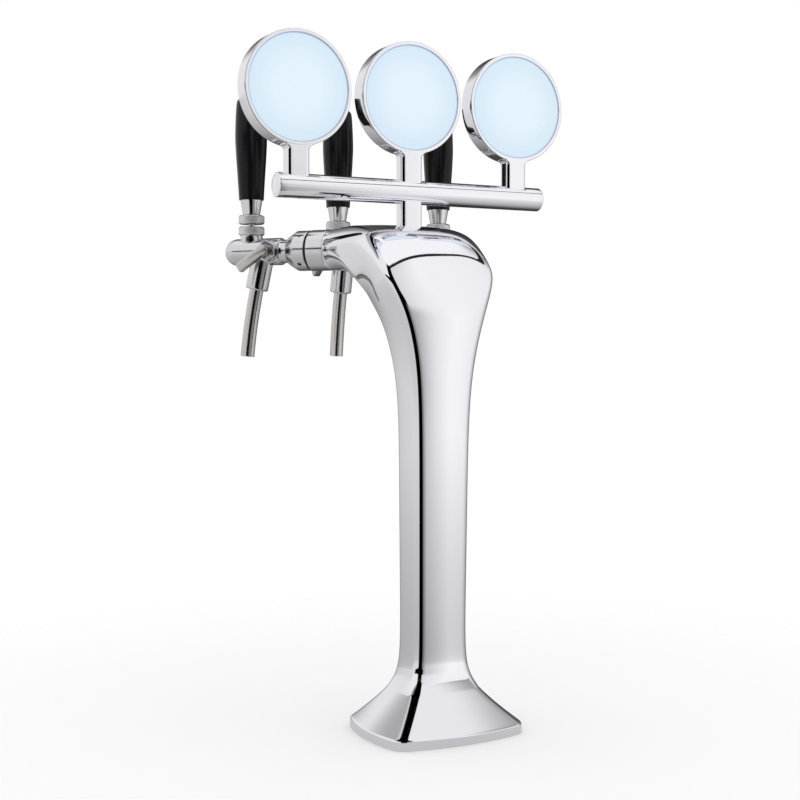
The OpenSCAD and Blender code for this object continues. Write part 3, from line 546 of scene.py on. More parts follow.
def flareRib(q):
    # q runs from 0 on the column to 1 on the base edge: sizes grow with q squared,
    # the height follows a quadratic curve through the knee
    z = (1 - q) ** 2 * tower["flareHeight"] + 2 * q * (1 - q) * tower["flareKnee"] + q * q * tower["flange"]
    bow = lerp(tower["bow"], tower["baseBow"], q * q)
    back = lerp(columnBack + tower["bow"] + tower["slim"], tower["baseBow"] - tower["baseDepth"] / 2, q * q)
    columnFace = columnFront - tower["bow"] - tower["slim"]
    front = lerp(columnFace, tower["baseDepth"] / 2 - tower["baseBow"], q * q)
    columnHalf = tower["columnWidth"] / 2 - tower["bow"] + tower["broad"]
    half = lerp(columnHalf, tower["baseWidth"] / 2 - tower["baseBow"], q * q)
    return np.stack(np.broadcast_arrays(back, z, front, z, half, tower["corner"], 0, 0, bow, 0), axis=-1)


def columnRib(back, backZ, throat, throatZ, widen, lift):
    # A level section of the column, by how far it departs from the plain column
    bow = tower["bow"]
    return [columnBack + bow - back, backZ, columnFront - bow - throat, throatZ,
            tower["columnWidth"] / 2 - bow + widen, tower["corner"], -lift, 0, bow, 0]


def crownPoint(turn):
    # Back of the hood: a flattened elliptic arc from upright to level
    turn = math.radians(turn)
    backward = math.cos(turn) ** tower["crownFlat"]
    upward = math.sin(turn) ** tower["crownFlat"]
    return [lerp(tower["crownY"], hoodBack, backward),
            tapHeight + lerp(-tower["shoulderDrop"], tower["crownHeight"], upward)]


def throatPoint(turn):
    # Throat of the hood: a squarish arc from the column's front to the ports' underside
    turn = math.radians(turn)
    return [lerp(hoodReach, columnFront - tower["throatTuck"], math.cos(turn) ** tower["throatSquare"]),
            tapHeight - lerp(tower["throatDrop"], frontReach, math.sin(turn) ** tower["throatFlat"])]


def hoodRib(back, throat, narrow, taper, radius, liftY, liftZ):
    # A section from a crown point to a throat point; its width grows towards the ports
    share = max(0, (back[0] - hoodBack) / (hoodReach - hoodBack))
    half = lerp(tower["hoodWidth"] / 2, frontHalf, share) - narrow
    return [*back, *throat, half, radius, liftY, liftZ, tower["bow"], taper]


def crownRib(turn, throat, narrow, taper, radius, liftY, liftZ, arch):
    # A hood section whose back lies on the crown and arches up between its ends
    y, z = crownPoint(turn)
    return hoodRib([y, z - arch], throat, narrow, taper, radius, liftY, liftZ + arch)


hoodStart = tapHeight - tower["hoodDrop"]
throatStart = tapHeight - tower["throatDrop"]
rise = tower["crownRise"]
arch = tower["crownArch"]
corner = tower["corner"]
frontTop = tapHeight + frontReach
columnMiddle = (tower["flareHeight"] + hoodStart) / 2
napeHigh = tapHeight - 0.41 * tower["throatDrop"]
napeLow = tapHeight - 0.62 * tower["throatDrop"]
bodyRibs = np.array([
    flareRib(np.float64(0)),
    columnRib(-0.7, columnMiddle, 1.8, columnMiddle, 2.5, 0),
    columnRib(0.1, hoodStart, 2.1, hoodStart, 3.2, 0.3),
    columnRib(0.8, lerp(hoodStart, throatStart, 0.625), 3.0, lerp(hoodStart, throatStart, 0.59), 4.5, 0.8),
    columnRib(2.5, tapHeight - 0.935 * tower["throatDrop"], 2.6, throatStart, 7.7, 1.2),
    hoodRib([columnBack - 3, napeLow], throatPoint(16), 15.7, 3, corner, -1.5, 0),
    hoodRib([columnBack - 0.5, napeHigh], throatPoint(27), 7.4, 7.8, corner - 0.5, -2, 0),
    crownRib(0, throatPoint(36), 1.2, 10.4, corner - 2, -1.5, 0, 0.3 * arch),
    crownRib(24, throatPoint(44), 0, 9.4, corner - 2, -1.2, rise / 2, 0.8 * arch),
    crownRib(45, throatPoint(51), 0, 7.2, corner - 1.5, -0.6, rise, arch),
    crownRib(67, throatPoint(58), 0, 5.1, corner, 0, rise, 0.7 * arch),
    crownRib(90, throatPoint(66), 0, 3.2, corner + 2.5, 0, rise, 0.3 * arch),
    hoodRib([lerp(tower["crownY"], hoodReach, 0.5), lerp(tapHeight + tower["crownHeight"], frontTop, 0.8)],
            throatPoint(76), 0, 1.5, tower["portRadius"] - 1.5, 0, rise / 2),
    hoodRib([hoodReach - 7, frontTop - 0.2], [hoodReach - 5.5, tapHeight - frontReach + 0.3],
            0, 0, frontReach - 0.6, 0, 0.4),
    hoodRib([hoodReach, frontTop], [hoodReach, tapHeight - frontReach], 0, 0, frontReach - 0.6, 0, 0),
])


def ribCurve(ribs, steps):
    # Cubic curve through all the sections (Catmull-Rom), with equal steps between two of them
    padded = np.concatenate([ribs[:1], ribs, ribs[-1:]])
    t = (np.arange(steps) / steps)[None, :, None]
    a, b, c, d = [padded[i:len(padded) - 3 + i, None] for i in range(4)]
    bend = (2 * a - 5 * b + 4 * c - d) * t ** 2 + (3 * b - a - 3 * c + d) * t ** 3
    mixed = 0.5 * (2 * b + (c - a) * t + bend)
    return np.concatenate([mixed.reshape(-1, ribs.shape[1]), ribs[-1:]])


def evenOut(ribs, width):
    # Gaussian mean along the loft; beyond its ends the sections go on point-symmetrically, so the ends stay
    reach = 3 * width
    before = 2 * ribs[0] - ribs[reach:0:-1]
    after = 2 * ribs[-1] - ribs[-2:-reach - 2:-1]
    padded = np.concatenate([before, ribs, after])
    weights = np.exp(-0.5 * (np.arange(-reach, reach + 1) / width) ** 2)
    windows = np.lib.stride_tricks.sliding_window_view(padded, 2 * reach + 1, axis=0)
    return (windows * (weights / weights.sum())).sum(axis=-1)


def roundedOutline(arcSteps, sideSteps):
    # Shares that place every point of a rounded rectangle: corner middles and arc directions
    signs = np.array([[1, 1], [-1, 1], [-1, -1], [1, -1]], float)
    turn = np.radians(90 * (np.arange(4)[:, None] + np.linspace(0, 1, arcSteps + 1)))
    arcOut = np.stack([np.cos(turn), np.sin(turn)], axis=-1)
    arcAt = np.repeat(signs[:, None], arcSteps + 1, axis=1)
    share = (np.arange(1, sideSteps) / sideSteps)[None, :, None]
    sideAt = lerp(signs[:, None], np.roll(signs, -1, axis=0)[:, None], share)
    sideOut = np.repeat(arcOut[:, -1:], sideSteps - 1, axis=1)
    at = np.concatenate([arcAt, sideAt], axis=1).reshape(-1, 2)
    out = np.concatenate([arcOut, sideOut], axis=1).reshape(-1, 2)
    return np.concatenate([at, at[:1]]), np.concatenate([out, out[:1]])


def ribSections(ribs, outline):
    # Each section is a rounded rectangle between its back and its throat, with bowed edges,
    # sides that taper towards the throat and a lifted crown
    at, out = outline
    back = ribs[:, 0:2]
    throat = ribs[:, 2:4]
    h = np.linalg.norm(throat - back, axis=1) / 2
    along = (throat - back) / (2 * h[:, None])
    middle = (back + throat) / 2
    w = ribs[:, 4:5]
    h = h[:, None]
    r = np.minimum(ribs[:, 5:6], h - 0.6)
    px = (w - r) * at[:, 0] + r * out[:, 0]
    pv = (h - r) * at[:, 1] + r * out[:, 1]
    acrossShare = 1 - (px / w) ** 2
    towardsThroat = np.clip((1 + pv / h) / 2, 0, 1)
    taper = ribs[:, 9:10] * towardsThroat ** tower["flankPower"]
    x = px + px / w * (ribs[:, 8:9] * (1 - (pv / h) ** 2) - taper)
    v = pv + ribs[:, 8:9] * acrossShare * pv / h
    lift = (1 - np.abs(px / w) ** tower["archPower"]) * np.maximum(0, -pv / h)
    y = middle[:, 0:1] + v * along[:, 0:1] + lift * ribs[:, 6:7]
    z = middle[:, 1:2] + v * along[:, 1:2] + lift * ribs[:, 7:8]
    return np.stack([x, y, z], axis=-1)


def ribArc(before, cornerRib, after, steps=7):
    # Rounds the edge at one section: a conic between the sections before and after it
    t = np.linspace(0, 1, steps)[:, None]
    shares = [(1 - t) ** 2, 1.5 * t * (1 - t), t ** 2]
    total = shares[0] + shares[1] + shares[2]
    return (shares[0] * before + shares[1] * cornerRib + shares[2] * after) / total


def closeOver(sections, shares):
    # Closes a row of sections by shrinking the last one to its middle
    last = sections[-1]
    middle = last[:-1].mean(axis=0)
    return np.concatenate([sections, middle + (last - middle) * shares[:, None, None]])


def towerOutside():
    # The foot's upright edge, its rounded brim, the flare, the column and the hood as one row of sections,
    # closed over the hood's end
    edge = tower["edgeRound"]
    brim = flareRib(np.float64(1))
    foot = brim.copy()
    foot[[1, 3]] = 0
    below = brim.copy()
    below[[1, 3]] = tower["flange"] - edge
    flare = flareRib(np.linspace(1 - edge / 45, 0, 46))
    body = np.concatenate([flare[-24:], ribCurve(bodyRibs, tower["steps"])[1:]])
    body = evenOut(body, tower["smoothing"])
    end = body[-1]
    beforeEnd = end.copy()
    beforeEnd[[0, 2]] -= edge
    inEnd = end.copy()
    inEnd[[1, 3]] += [-edge, edge]
    inEnd[4] -= edge
    inEnd[5] -= edge
    upright = lerp(foot, below, np.linspace(0, 1, 6)[:, None])
    ribs = np.concatenate([
        upright[:-1], ribArc(below, brim, flare[0]), flare[1:-24], body[:-3], ribArc(beforeEnd, end, inEnd)])
    return closeOver(ribSections(ribs, roundedOutline(14, 26)), np.linspace(0.92, 0, 8))


def towerInside():
    # The same sections one wall further in, closed near the hood's end;
    # the wall is thinner at the column's back, where the product tubes pass
    back = bodyRibs[:, 0:2]
    throat = bodyRibs[:, 2:4]
    inward = (throat - back) / np.linalg.norm(throat - back, axis=1)[:, None]
    backWall = np.where(back[:, 1:] < throatStart, tower["backWall"], tower["wall"])
    ribs = bodyRibs.copy()
    ribs[:, 0:2] = back + backWall * inward
    ribs[:, 2:4] = throat - tower["wall"] * inward
    ribs[:, 4] -= tower["wall"]
    ribs[:, 5] = np.maximum(ribs[:, 5] - tower["wall"], 2)
    ribs[-1, [0, 2]] -= tower["wall"]
    foot = ribs[:1].copy()
    foot[:, [1, 3]] = 0
    sections = ribSections(ribCurve(np.concatenate([foot, ribs]), 6), roundedOutline(8, 14))
    return closeOver(sections, np.linspace(0.8, 0, 4))


axisX = np.array([1.0, 0, 0])
axisY = np.array([0, 1.0, 0])
axisZ = np.array([0, 0, 1.0])
handlePivot = {"along": 78.6, "up": 18}


def tapPlace(side):
    # Port middle and the three directions of a tap: sideways (its hinge axis), up and along
    joint = [j for j in frame["joints"] if j["name"] == "handle_tilt_" + side][0]
    sideways = unit(np.array(joint["axis"], float))
    along = np.cross(sideways, axisZ)
    pivot = np.array(joint["pos_m"], float) / mm
    return pivot - handlePivot["along"] * along - handlePivot["up"] * axisZ, sideways, axisZ, along


taps = {side: tapPlace(side) for side in sideNames}


def portPart(side):
    # A round port along the tap that starts on a plane inside the hood's end wall
    origin, sideways, up, along = taps[side]
    turn = np.linspace(0, fullTurn, 121)
    around = np.cos(turn)[:, None] * sideways + np.sin(turn)[:, None] * up
    radius = tower["portRadius"]
    plane = hoodReach - tower["wall"] / 2
    start = (plane - origin[1] - radius * around[:, 1]) / along[1]
    hub = np.full(len(turn), (plane - origin[1]) / along[1])
    face = np.zeros(len(turn))
    profile = [(0, hub), (radius, start), (radius, face - 0.5), (radius - 0.1, face - 0.15),
               (radius - 0.4, face), (0, face)]
    rows = [origin + r * around + height[:, None] * along for r, height in profile]
    return gridPart(np.stack(rows))


def towerPiece():
    # Outside, inside, ports, bolt holes and gasket groove, with the underside filled between their edges
    outside = towerOutside()
    inside = towerInside()
    radius = tower["boltRadius"]
    hole = np.array([[0, tower["boltDepth"]], [radius, tower["boltDepth"]], [radius, 0]])
    groove = np.array([[tower["grooveOuter"], 0], [tower["grooveOuter"], tower["grooveDepth"]],
                       [tower["grooveInner"], tower["grooveDepth"]], [tower["grooveInner"], 0]])
    parts = [gridPart(outside), gridPart(inside, inward=True),
             revolve(groove, (np.zeros(3), axisX, axisY, axisZ), 128, inward=True)]
    for x in (-tower["boltX"], tower["boltX"]):
        for y in (-tower["boltY"], tower["boltY"]):
            parts.append(revolve(hole, (np.array([x, y, 0]), axisX, axisY, axisZ), 32, inward=True))
    parts += [portPart(side) for side in sideNames]
    piece = buildPiece("tower_casting", parts, "chrome", ["tower_body"], sharpAngle=tower["sharpAngle"])
    work = bmesh.new()
    work.from_mesh(piece.data)
    rims = [e for e in work.edges if e.is_boundary and max(abs(v.co.z) for v in e.verts) < 1e-6]
    bmesh.ops.triangle_fill(work, edges=rims, use_beauty=True, normal=(0, 0, -1))
    work.to_mesh(piece.data)
    work.free()
    finishMesh(piece.data, tower["sharpAngle"])


towerPiece()
print("stage: tower casting built")

stand = {
    "barY": 47.2, "barZ": 458.6, "barStart": -125, "barEnd": 133, "barRadius": 10.4, "barRound": 1.0,
    "plugRadius": 8.35, "plugDepth": 10, "plugGap": 0.15, "plugStep": 0.3, "stemWidth": 19.6,
    "stemDepth": 13.5, "stemRound": 2.8, "postFloor": 422, "pitch": 106.5, "medallionZ": 539.2,
    "front": 40.45, "back": 57.15, "lensRadius": 45, "rimRadius": 48.2, "rimRound": 0.8, "lensRecess": 0.8,
    "lensSwell": 0.6, "wellDepth": 3.8, "ledgeDepth": 6, "ledgeWidth": 3, "coverDepth": 9, "filletReach": 4,
    "stemSink": 0.9,
}
barPlace = (np.array([0, stand["barY"], stand["barZ"]]), axisY, axisZ, axisX)


def stemOutline():
    # Closed outline of the stems and the post, a rectangle with rounded corners
    half = [stand["stemWidth"] / 2, stand["stemDepth"] / 2]
    corners = np.array([[1, 1], [-1, 1], [-1, -1], [1, -1]], float) * half
    return refine(softCorners(corners, stand["stemRound"], 8, closed=True), 1.5)


def barPiece():
    # A round bar with rounded rims and a shallow step where the end plugs sit, turned about X
    start = stand["barStart"]
    end = stand["barEnd"]
    plug = stand["plugRadius"]
    step = stand["plugStep"]
    outer = [[0, start + step], [plug, start + step], [plug + 0.05, start], [stand["barRadius"], start],
             [stand["barRadius"], end], [plug + 0.05, end], [plug, end - step], [0, end - step]]
    cuts = [0, 0.1, 0.1, stand["barRound"], stand["barRound"], 0.1, 0.1, 0]
    buildPiece("round_cross_bar", [turned(outer, cuts, barPlace, 128, 6)], "chrome", ["cross_bar"])


def plugPiece():
    # Two discs that close the bar ends, a little behind its rims
    parts = []
    for end, way in ((stand["barStart"], 1), (stand["barEnd"], -1)):
        radius = stand["plugRadius"] - stand["plugGap"]
        corners = rodLine(radius, end + stand["plugDepth"] * way, end + 0.1 * way)
        parts.append(turned(corners, [0, 0.1, 0.5, 0], barPlace, 96))
    buildPiece("bar_end_plugs", parts, "chrome", ["bar_end_caps"])


def postPiece():
    # A rounded rectangle drawn up from inside the crown into the bar
    low = stand["postFloor"]
    rows = [[low, 0, 0], [low, 1, 0]]
    rows += [[z, 1, 0] for z in np.linspace(low + 2, stand["barZ"], 12)]
    rows += [[stand["barZ"], 0, 0]]
    place = (np.array([0, stand["barY"], 0]), axisX, axisY, axisZ)
    buildPiece("post", [prism(stemOutline(), rows, place)], "chrome", ["support_post"])


def ringPart(place):
    # A closed rounded profile turned about the lens axis, with a well that holds the lens
    bore = stand["lensRadius"] + 0.05
    ledge = stand["lensRadius"] - stand["ledgeWidth"]
    rim = stand["rimRadius"]
    front = stand["front"]
    corners = [[bore, front], [rim, front], [rim, stand["back"]], [bore, stand["back"]],
               [bore, front + stand["ledgeDepth"]], [ledge, front + stand["ledgeDepth"]],
               [ledge, front + stand["wellDepth"]], [bore, front + stand["wellDepth"]]]
    cuts = [0.35, stand["rimRound"], stand["rimRound"], 0.2, 0.05, 0.05, 0.05, 0.05]
    return revolve(refine(softCorners(corners, cuts, 7, closed=True), 4), place, 240)


def stemPart(x):
    # A rounded rectangle from the bar into the ring that widens in a fillet below it
    low = stand["barZ"]
    sink = stand["stemSink"]
    reach = stand["filletReach"]
    top = stand["medallionZ"] - math.sqrt(stand["rimRadius"] ** 2 - (stand["stemWidth"] / 2) ** 2) + sink
    t = np.linspace(0, 1, 9)
    widen = reach * (1 - np.sqrt(1 - (0.95 * t) ** 2))
    rows = np.concatenate([
        [[low, 0, 0], [low, 1, 0]],
        np.stack([np.linspace(low + 4, top - reach - 1.5, 8), np.ones(8), np.zeros(8)], axis=1),
        np.stack([top - sink - reach + reach * t, np.ones(9), widen], axis=1),
        [[top, 1, widen[-1]], [top, 0, 0]]])
    stem = prism(stemOutline(), rows, (np.array([x, stand["barY"], 0]), axisX, axisY, axisZ))
    stem[0][:, 1] = np.maximum(stem[0][:, 1], stand["front"] + 0.02)
    return stem


def medallionPieces(side, x):
    # Ring with its stem, a slightly swelling lens in the ring's well, and a flat cover behind it
    place = (np.array([x, 0, stand["medallionZ"]]), axisZ, axisX, axisY)
    front = stand["front"]
    radius = stand["lensRadius"]
    parts = [ringPart(place), stemPart(x)]
    buildPiece("medallion_ring_" + side, parts, "chrome", ["medallion_housing_" + side])
    share = np.linspace(0, 1, 24)
    swell = front + stand["lensRecess"] - stand["lensSwell"] * (1 - share ** 2)
    floor = front + stand["wellDepth"]
    profile = np.concatenate([np.stack([radius * share, swell], axis=1), [[radius, floor], [0, floor]]])
    buildPiece("pale_lens_" + side, [revolve(profile, place, 192)], "lens", ["lens_" + side])
    corners = rodLine(radius - 0.05, front + stand["coverDepth"], stand["back"])
    cover = turned(corners, [0, 0.2, 0.6, 0], place, 192, 5)
    buildPiece("back_cover_" + side, [cover], "chrome", ["rear_cover_" + side])


barPiece()
plugPiece()
postPiece()
for side, step in zip(sideNames, (-1, 0, 1)):
    medallionPieces(side, step * stand["pitch"])
print("stage: bar, post and medallions built")

tap = {
    "seamGap": 0.02, "seamDepth": 0.4, "seamWidth": 0.45, "collarEnd": 16.4, "washerEnd": 18.4,
    "washerRadius": 17.25, "nutRadius": 18, "nutShoulder": 29.9, "nutEnd": 38.9, "nutMouth": 12.5,
    "holeRadius": 1.8, "holeDepth": 4, "patchHalf": 2.6, "neckRadius": 10.5, "barrelStart": 47,
    "barrelRadius": 12.3, "barrelEnd": 91.65, "stubRadius": 10, "bonnetZ": 15.2,
    "rootHeight": 4, "controlAt": 55, "seatRadius": 9, "seatEnd": 12.8, "spoutAt": 66,
    "lean": math.radians(12.5), "socketRadius": 10.2, "socketLength": 35, "socketMouth": 3,
    "spoutRadius": 6.3, "spoutWall": 1.2, "bend": 520, "sweep": math.radians(6.8), "spoutSeat": 14,
}


def handlePlace(side):
    # Height runs up the handle axis, from the tap axis
    origin, sideways, up, along = taps[side]
    return origin + handlePivot["along"] * along, along, sideways, up


def controlPlace(side):
    # Height runs sideways along the flow control spindle
    origin, sideways, up, along = taps[side]
    return origin + tap["controlAt"] * along, up, along, sideways


def spoutPlace(side):
    # Height runs up the leaning spout socket, from the tap axis
    origin, sideways, up, along = taps[side]
    outward = math.cos(tap["lean"]) * along + math.sin(tap["lean"]) * up
    upward = math.cos(tap["lean"]) * up - math.sin(tap["lean"]) * along
    return origin + tap["spoutAt"] * along, outward, sideways, upward


def collarPiece():
    # A plain ring on each port, with a small notch at the seam
    r = tower["portRadius"]
    gap = tap["seamGap"]
    corners = [[0, gap], [r - tap["seamDepth"], gap], [r, tap["seamWidth"]], [r, tap["collarEnd"]],
               [0, tap["collarEnd"]]]
    parts = [turned(corners, [0, 0.1, 0.2, 0.5, 0], taps[side], 128, 4) for side in sideNames]
    buildPiece("plain_collars", parts, "dimmed_tap_chrome", ["shank_collars"])


def washerPiece():
    # A thin black ring between collar and nut
    corners = rodLine(tap["washerRadius"], tap["collarEnd"], tap["washerEnd"])
    parts = [turned(corners, [0, 0.1, 0.1, 0], taps[side], 96) for side in sideNames]
    buildPiece("black_washers", parts, "black_washer", ["dark_washers"])


def nutPart(side):
    # A turned nut whose round part has four spanner holes: in a square patch round each hole the grid
    # is bent into circles, and the points inside the hole sink towards the axis
    start = tap["washerEnd"]
    shoulder = tap["nutShoulder"]
    radius = tap["nutRadius"]
    middle = (start + shoulder) / 2
    half = tap["patchHalf"]
    outside = 9.0
    corners = [[0, start], [radius, start], [radius, shoulder], [tap["nutMouth"], tap["nutEnd"]],
               [0, tap["nutEnd"]]]
    profile = softCorners(corners, [0, 0.6, 0.5, 0.5, 0], 7)
    before = profile[profile[:, 1] < middle - half]
    after = profile[profile[:, 1] > middle + half]
    share = np.linspace(-1, 1, 41)
    patch = np.stack([np.full(len(share), radius), middle + half * share], axis=1)
    profile = np.concatenate([before, patch, after])
    rowShare = np.concatenate([np.full(len(before), outside), share, np.full(len(after), outside)])
    patchTurn = half / radius
    between = np.linspace(patchTurn, fullTurn / 4 - patchTurn, 14)[1:-1]
    sector = np.concatenate([share * patchTurn, between])
    columnShare = np.concatenate([share, np.full(len(between), outside)])
    turn = (fullTurn / 8 + sector[None, :] + fullTurn / 4 * np.arange(4)[:, None]).ravel()
    turn = np.concatenate([turn, [turn[0] + fullTurn]])
    columnShare = np.concatenate([np.tile(columnShare, 4), columnShare[:1]])
    uu, vv = np.meshgrid(columnShare, rowShare)
    inPatch = (np.abs(uu) <= 1) & (np.abs(vv) <= 1)
    ring = np.where(inPatch, np.maximum(np.abs(uu), np.abs(vv)), outside)
    length = np.maximum(np.hypot(uu, vv), 1e-9)
    bend = np.where(inPatch, (1 - smoothStep(0.75, 1, ring)) * (ring / length - 1), 0)
    turnGrid = turn[None, :] + bend * uu * patchTurn
    heightGrid = profile[:, 1:2] + bend * vv * half
    edge = tap["holeRadius"] / half
    sink = tap["holeDepth"] * (1 - smoothStep(edge - 0.05, edge + 0.03, ring))
    radiusGrid = profile[:, 0:1] - sink
    return gridPart(pointsAround(taps[side], turnGrid, radiusGrid, heightGrid))


def tapBodyPiece(side):
    # Neck, barrel with a round nose, bonnet stub, control seat and leaning spout socket
    r = tap["barrelRadius"]
    neck = tap["neckRadius"]
    nose = np.linspace(0, fullTurn / 4, 20)
    noseLine = np.stack([r * np.cos(nose), tap["barrelEnd"] + r * np.sin(nose)], axis=1)
    noseLine[-1, 0] = 0
    shoulder = softCorners([[0, tap["nutShoulder"]], [neck, tap["nutShoulder"]], [neck, tap["barrelStart"]],
                            [r, tap["barrelStart"]], [r, tap["barrelStart"] + 8]], [0, 0.2, 0.6, 1.0, 0])
    barrel = revolve(refine(np.concatenate([shoulder, noseLine]), 3), taps[side], 96)
    stubLine = rodLine(tap["stubRadius"], tap["rootHeight"], tap["bonnetZ"])
    seatLine = rodLine(tap["seatRadius"], tap["rootHeight"], tap["seatEnd"])
    low = -tap["socketLength"]
    floor = low + tap["socketMouth"]
    bore = tap["spoutRadius"] + 0.1
    socketLine = [[0, 0], [tap["socketRadius"], 0], [tap["socketRadius"], low], [bore, low], [bore, floor],
                  [0, floor]]
    parts = [barrel, turned(stubLine, [0, 0.2, 0.4, 0], handlePlace(side), 72),
             turned(seatLine, [0, 0.2, 0.5, 0], controlPlace(side), 72),
             turned(socketLine, [0, 0.2, 1.6, 0.3, 0.1, 0], spoutPlace(side), 96, 3)]
    buildPiece("tap_barrel_" + side, parts, "dimmed_tap_chrome", ["tap_body_" + side])


def spoutPiece(side):
    # A hollow tube: straight in its socket, then along an arc that turns back towards upright
    origin, outward, sideways, upward = spoutPlace(side)
    low = -tap["socketLength"]
    straight = np.linspace(tap["spoutSeat"], 0, 5)[:-1]
    angle = np.linspace(0, tap["sweep"], 40)
    reach = np.concatenate([np.zeros(4), tap["bend"] * (np.cos(angle) - 1)])
    height = np.concatenate([low + straight, low - tap["bend"] * np.sin(angle)])
    lean = np.concatenate([np.zeros(4), angle])
    middle = origin + reach[:, None] * outward + height[:, None] * upward
    radial = np.cos(lean)[:, None] * outward - np.sin(lean)[:, None] * upward
    tangent = -np.sin(lean)[:, None] * outward - np.cos(lean)[:, None] * upward
    outer = tap["spoutRadius"]
    inner = outer - tap["spoutWall"]
    lip = softCorners([[outer, -2], [outer, 0], [inner, 0], [inner, -2]], [0, 0.35, 0.35, 0])[1:-1]
    turn = np.linspace(0, fullTurn, 65)
    around = np.cos(turn)[None, :, None] * radial[:, None] + np.sin(turn)[None, :, None] * sideways
    outside = middle[:-1, None] + outer * around[:-1]
    end = middle[-1] + lip[:, 0, None, None] * around[-1] + lip[:, 1, None, None] * tangent[-1]
    inside = middle[-2::-1, None] + inner * around[-2::-1]
    points = np.concatenate([outside, end, inside, outside[:1]])
    buildPiece("spout_tube_" + side, [gridPart(points)], "spout_steel", ["spout_" + side])


for side in sideNames:
    tapBodyPiece(side)
    spoutPiece(side)
collarPiece()
washerPiece()
buildPiece("spanner_nuts", [nutPart(side) for side in sideNames], "dimmed_tap_chrome", ["coupling_nuts"])
print("stage: tap bodies, nuts and spouts built")

knurl = {"radius": 11.8, "height": 7.9, "chamfer": 1.2, "count": 60, "perTooth": 8, "depth": 0.26,
         "slope": 1.75, "rows": 38, "fadeIn": 0.4, "bore": 4.4, "mouth": 5.3,
         "boreStart": 3.2, "mouthEnd": 2.8, "sharpAngle": 60}


def knurledPart(place, base, hollow):
    # A collar with chamfered edges; two crossing sets of grooves round it leave diamonds:
    # radius minus depth times (1 - the smaller of two waves), one wave per helix direction
    radius = knurl["radius"]
    height = knurl["height"]
    chamfer = knurl["chamfer"]
    bore = knurl["bore"]
    mouth = knurl["mouth"]
    z = np.linspace(chamfer, height - chamfer, knurl["rows"])
    band = np.stack([np.full(len(z), radius), z], axis=1)
    low = np.array([[0, 0], [radius - chamfer, 0]])
    high = np.array([[radius - chamfer, height], [0, height]])
    if hollow:
        low = np.array([[bore, height], [bore, knurl["boreStart"]], [mouth, knurl["mouthEnd"]], [mouth, 0],
                        [radius - chamfer, 0]])
        high = np.array([[radius - chamfer, height], [bore, height]])
    profile = np.concatenate([low, band, high])
    turn = np.linspace(0, fullTurn, knurl["count"] * knurl["perTooth"] + 1)
    inBand = np.zeros(len(profile))
    edge = np.minimum(z - chamfer, height - chamfer - z)
    inBand[len(low):len(low) + len(z)] = smoothStep(0, knurl["fadeIn"], edge)
    wave = knurl["count"] / 2 * turn[None, :]
    climb = knurl["slope"] * profile[:, 1:2]
    ridge = np.minimum(np.abs(np.sin(wave + climb)), np.abs(np.sin(wave - climb)))
    radiusGrid = profile[:, 0:1] - inBand[:, None] * knurl["depth"] * (1 - ridge)
    return gridPart(pointsAround(place, turn[None, :], radiusGrid, base + profile[:, 1:2]))


handle = {"lockZ": 25.5, "ferruleZ": 33.4, "gripZ": 47.5, "ferruleLow": 7.6, "ferruleHigh": 10,
          "gripHeight": 94.6, "gripFoot": 10.9,
          "gripSide": [(11.25, 0), (12.55, 21), (13.915, 42), (14.5, 60)],
          "gripDome": [(13.3, 9), (11.1, 3.4), (6.5, 0.5), (0, 0)]}


def handlePieces(side):
    # Lock collar, ferrule and grip, turned about the handle axis; the grip's profile is a cubic curve
    # through its side, given by radius and height, and its dome, by radius and depth below the top
    place = handlePlace(side)
    body = "handle_" + side
    lock = knurledPart(place, handle["lockZ"], False)
    buildPiece("knurled_lock_" + side, [lock], "knurled_steel", ["lock_collar_" + side], body,
               knurl["sharpAngle"])
    low = handle["ferruleZ"]
    high = handle["gripZ"]
    narrow = handle["ferruleLow"]
    wide = handle["ferruleHigh"]
    corners = [[0, low], [narrow, low], [(narrow + wide) / 2, (low + high) / 2], [wide, high], [0, high]]
    ferrule = turned(corners, [0, 0.6, 2, 0.4, 0], place, 96, 1.5)
    buildPiece("steel_ferrule_" + side, [ferrule], "ferrule_steel", ["ferrule_" + side], body)
    top = handle["gripHeight"]
    domeLine = [(radius, top - drop) for radius, drop in handle["gripDome"]]
    curve = ribCurve(np.array(handle["gripSide"] + domeLine), 12)
    curve[:, 0] = np.maximum(curve[:, 0], 0)
    curve = np.concatenate([[[0, 0], [handle["gripFoot"], 0]], curve])
    curve[:, 1] += high
    grip = revolve(refine(curve, 3), place, 128)
    buildPiece("black_grip_" + side, [grip], "grip", ["grip_" + side], body)


control = {"glandRadius": 9.5, "glandStart": 12.8, "glandEnd": 17.8, "glandAngle": 25, "glandRound": 0.4,
           "glandBevel": 0.6, "leverStart": 20.5, "leverEnd": 27.5, "leverLength": 29, "leverWidth": 8.4,
           "leverAngle": 30, "droop": math.radians(34), "hubRadius": 5, "tipRound": 1.2, "bevel": 0.8,
           "bevelStep": 0.25}


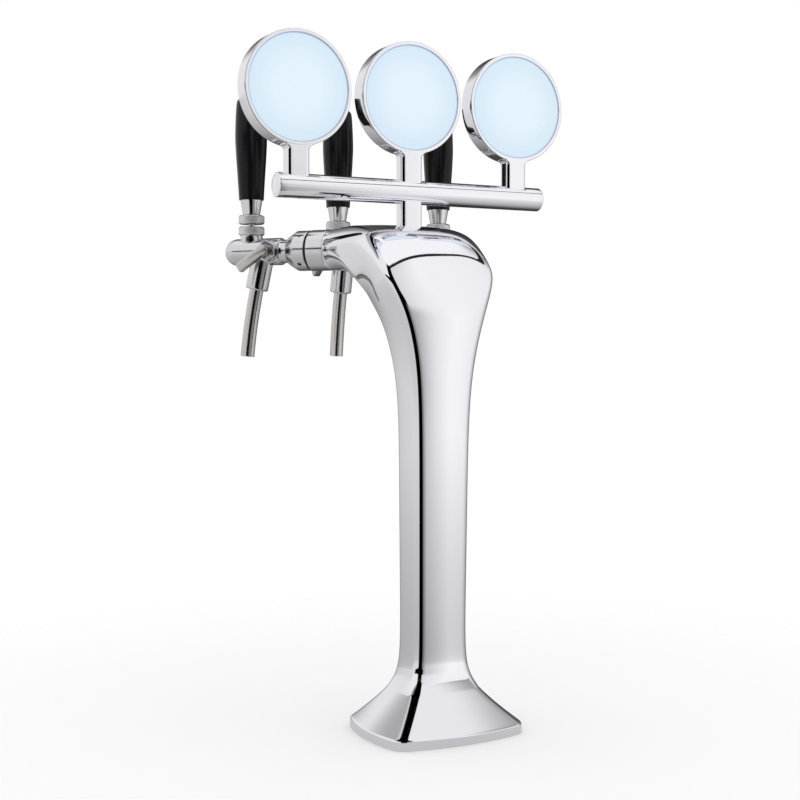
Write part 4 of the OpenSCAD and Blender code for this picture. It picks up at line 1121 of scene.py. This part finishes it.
def glandPiece():
    # A hexagon nut with bevelled edges on each control seat
    turn = np.arange(6) * fullTurn / 6
    corners = control["glandRadius"] * np.stack([np.cos(turn), np.sin(turn)], axis=1)
    outline = refine(softCorners(corners, control["glandRound"], 4, closed=True), 2.5)
    low = control["glandStart"]
    high = control["glandEnd"]
    bevel = control["glandBevel"]
    rows = [[low, 0, 0], [low, 1, 0], [high - bevel, 1, 0], [high, 1, -bevel], [high, 0.4, 0], [high, 0, 0]]
    parts = [prism(outline, rows, controlPlace(side)) for side in sideNames]
    buildPiece("gland_hexagons", parts, "dimmed_tap_chrome", ["gland_nuts"], sharpAngle=control["glandAngle"])


def leverPiece(side):
    # A bar with a round hub and a blunt tip, bevelled all round
    origin, sideways, up, along = taps[side]
    reach = math.cos(control["droop"]) * along - math.sin(control["droop"]) * up
    place = (origin + tap["controlAt"] * along, reach, np.cross(sideways, reach), sideways)
    half = control["leverWidth"] / 2
    length = control["leverLength"]
    opening = math.asin(half / control["hubRadius"])
    turn = np.linspace(opening, fullTurn - opening, 40)
    hub = control["hubRadius"] * np.stack([np.cos(turn), np.sin(turn)], axis=1)
    tip = softCorners([[hub[-1, 0] + 1, -half], [length, -half], [length, half], [hub[0, 0] + 1, half]],
                      [0, control["tipRound"], control["tipRound"], 0], 6)
    outline = refine(np.concatenate([hub, tip, hub[:1]]), 1.5)
    low = control["leverStart"]
    high = control["leverEnd"]
    bevel = control["bevel"]
    step = control["bevelStep"]
    rows = [[low, 0, 0], [low, 1, -bevel], [low + step, 1, -step], [low + bevel, 1, 0], [high - bevel, 1, 0],
            [high - step, 1, -step], [high, 1, -bevel], [high, 0, 0]]
    buildPiece("control_lever_" + side, [prism(outline, rows, place)], "lever_steel", ["flow_lever_" + side],
               "flow_control_" + side, control["leverAngle"])


bonnets = [knurledPart(handlePlace(side), tap["bonnetZ"], True) for side in sideNames]
buildPiece("knurled_bonnets", bonnets, "knurled_steel", ["bonnet_collars"], sharpAngle=knurl["sharpAngle"])
glandPiece()
for side in sideNames:
    handlePieces(side)
    leverPiece(side)
print("stage: handles and levers built")
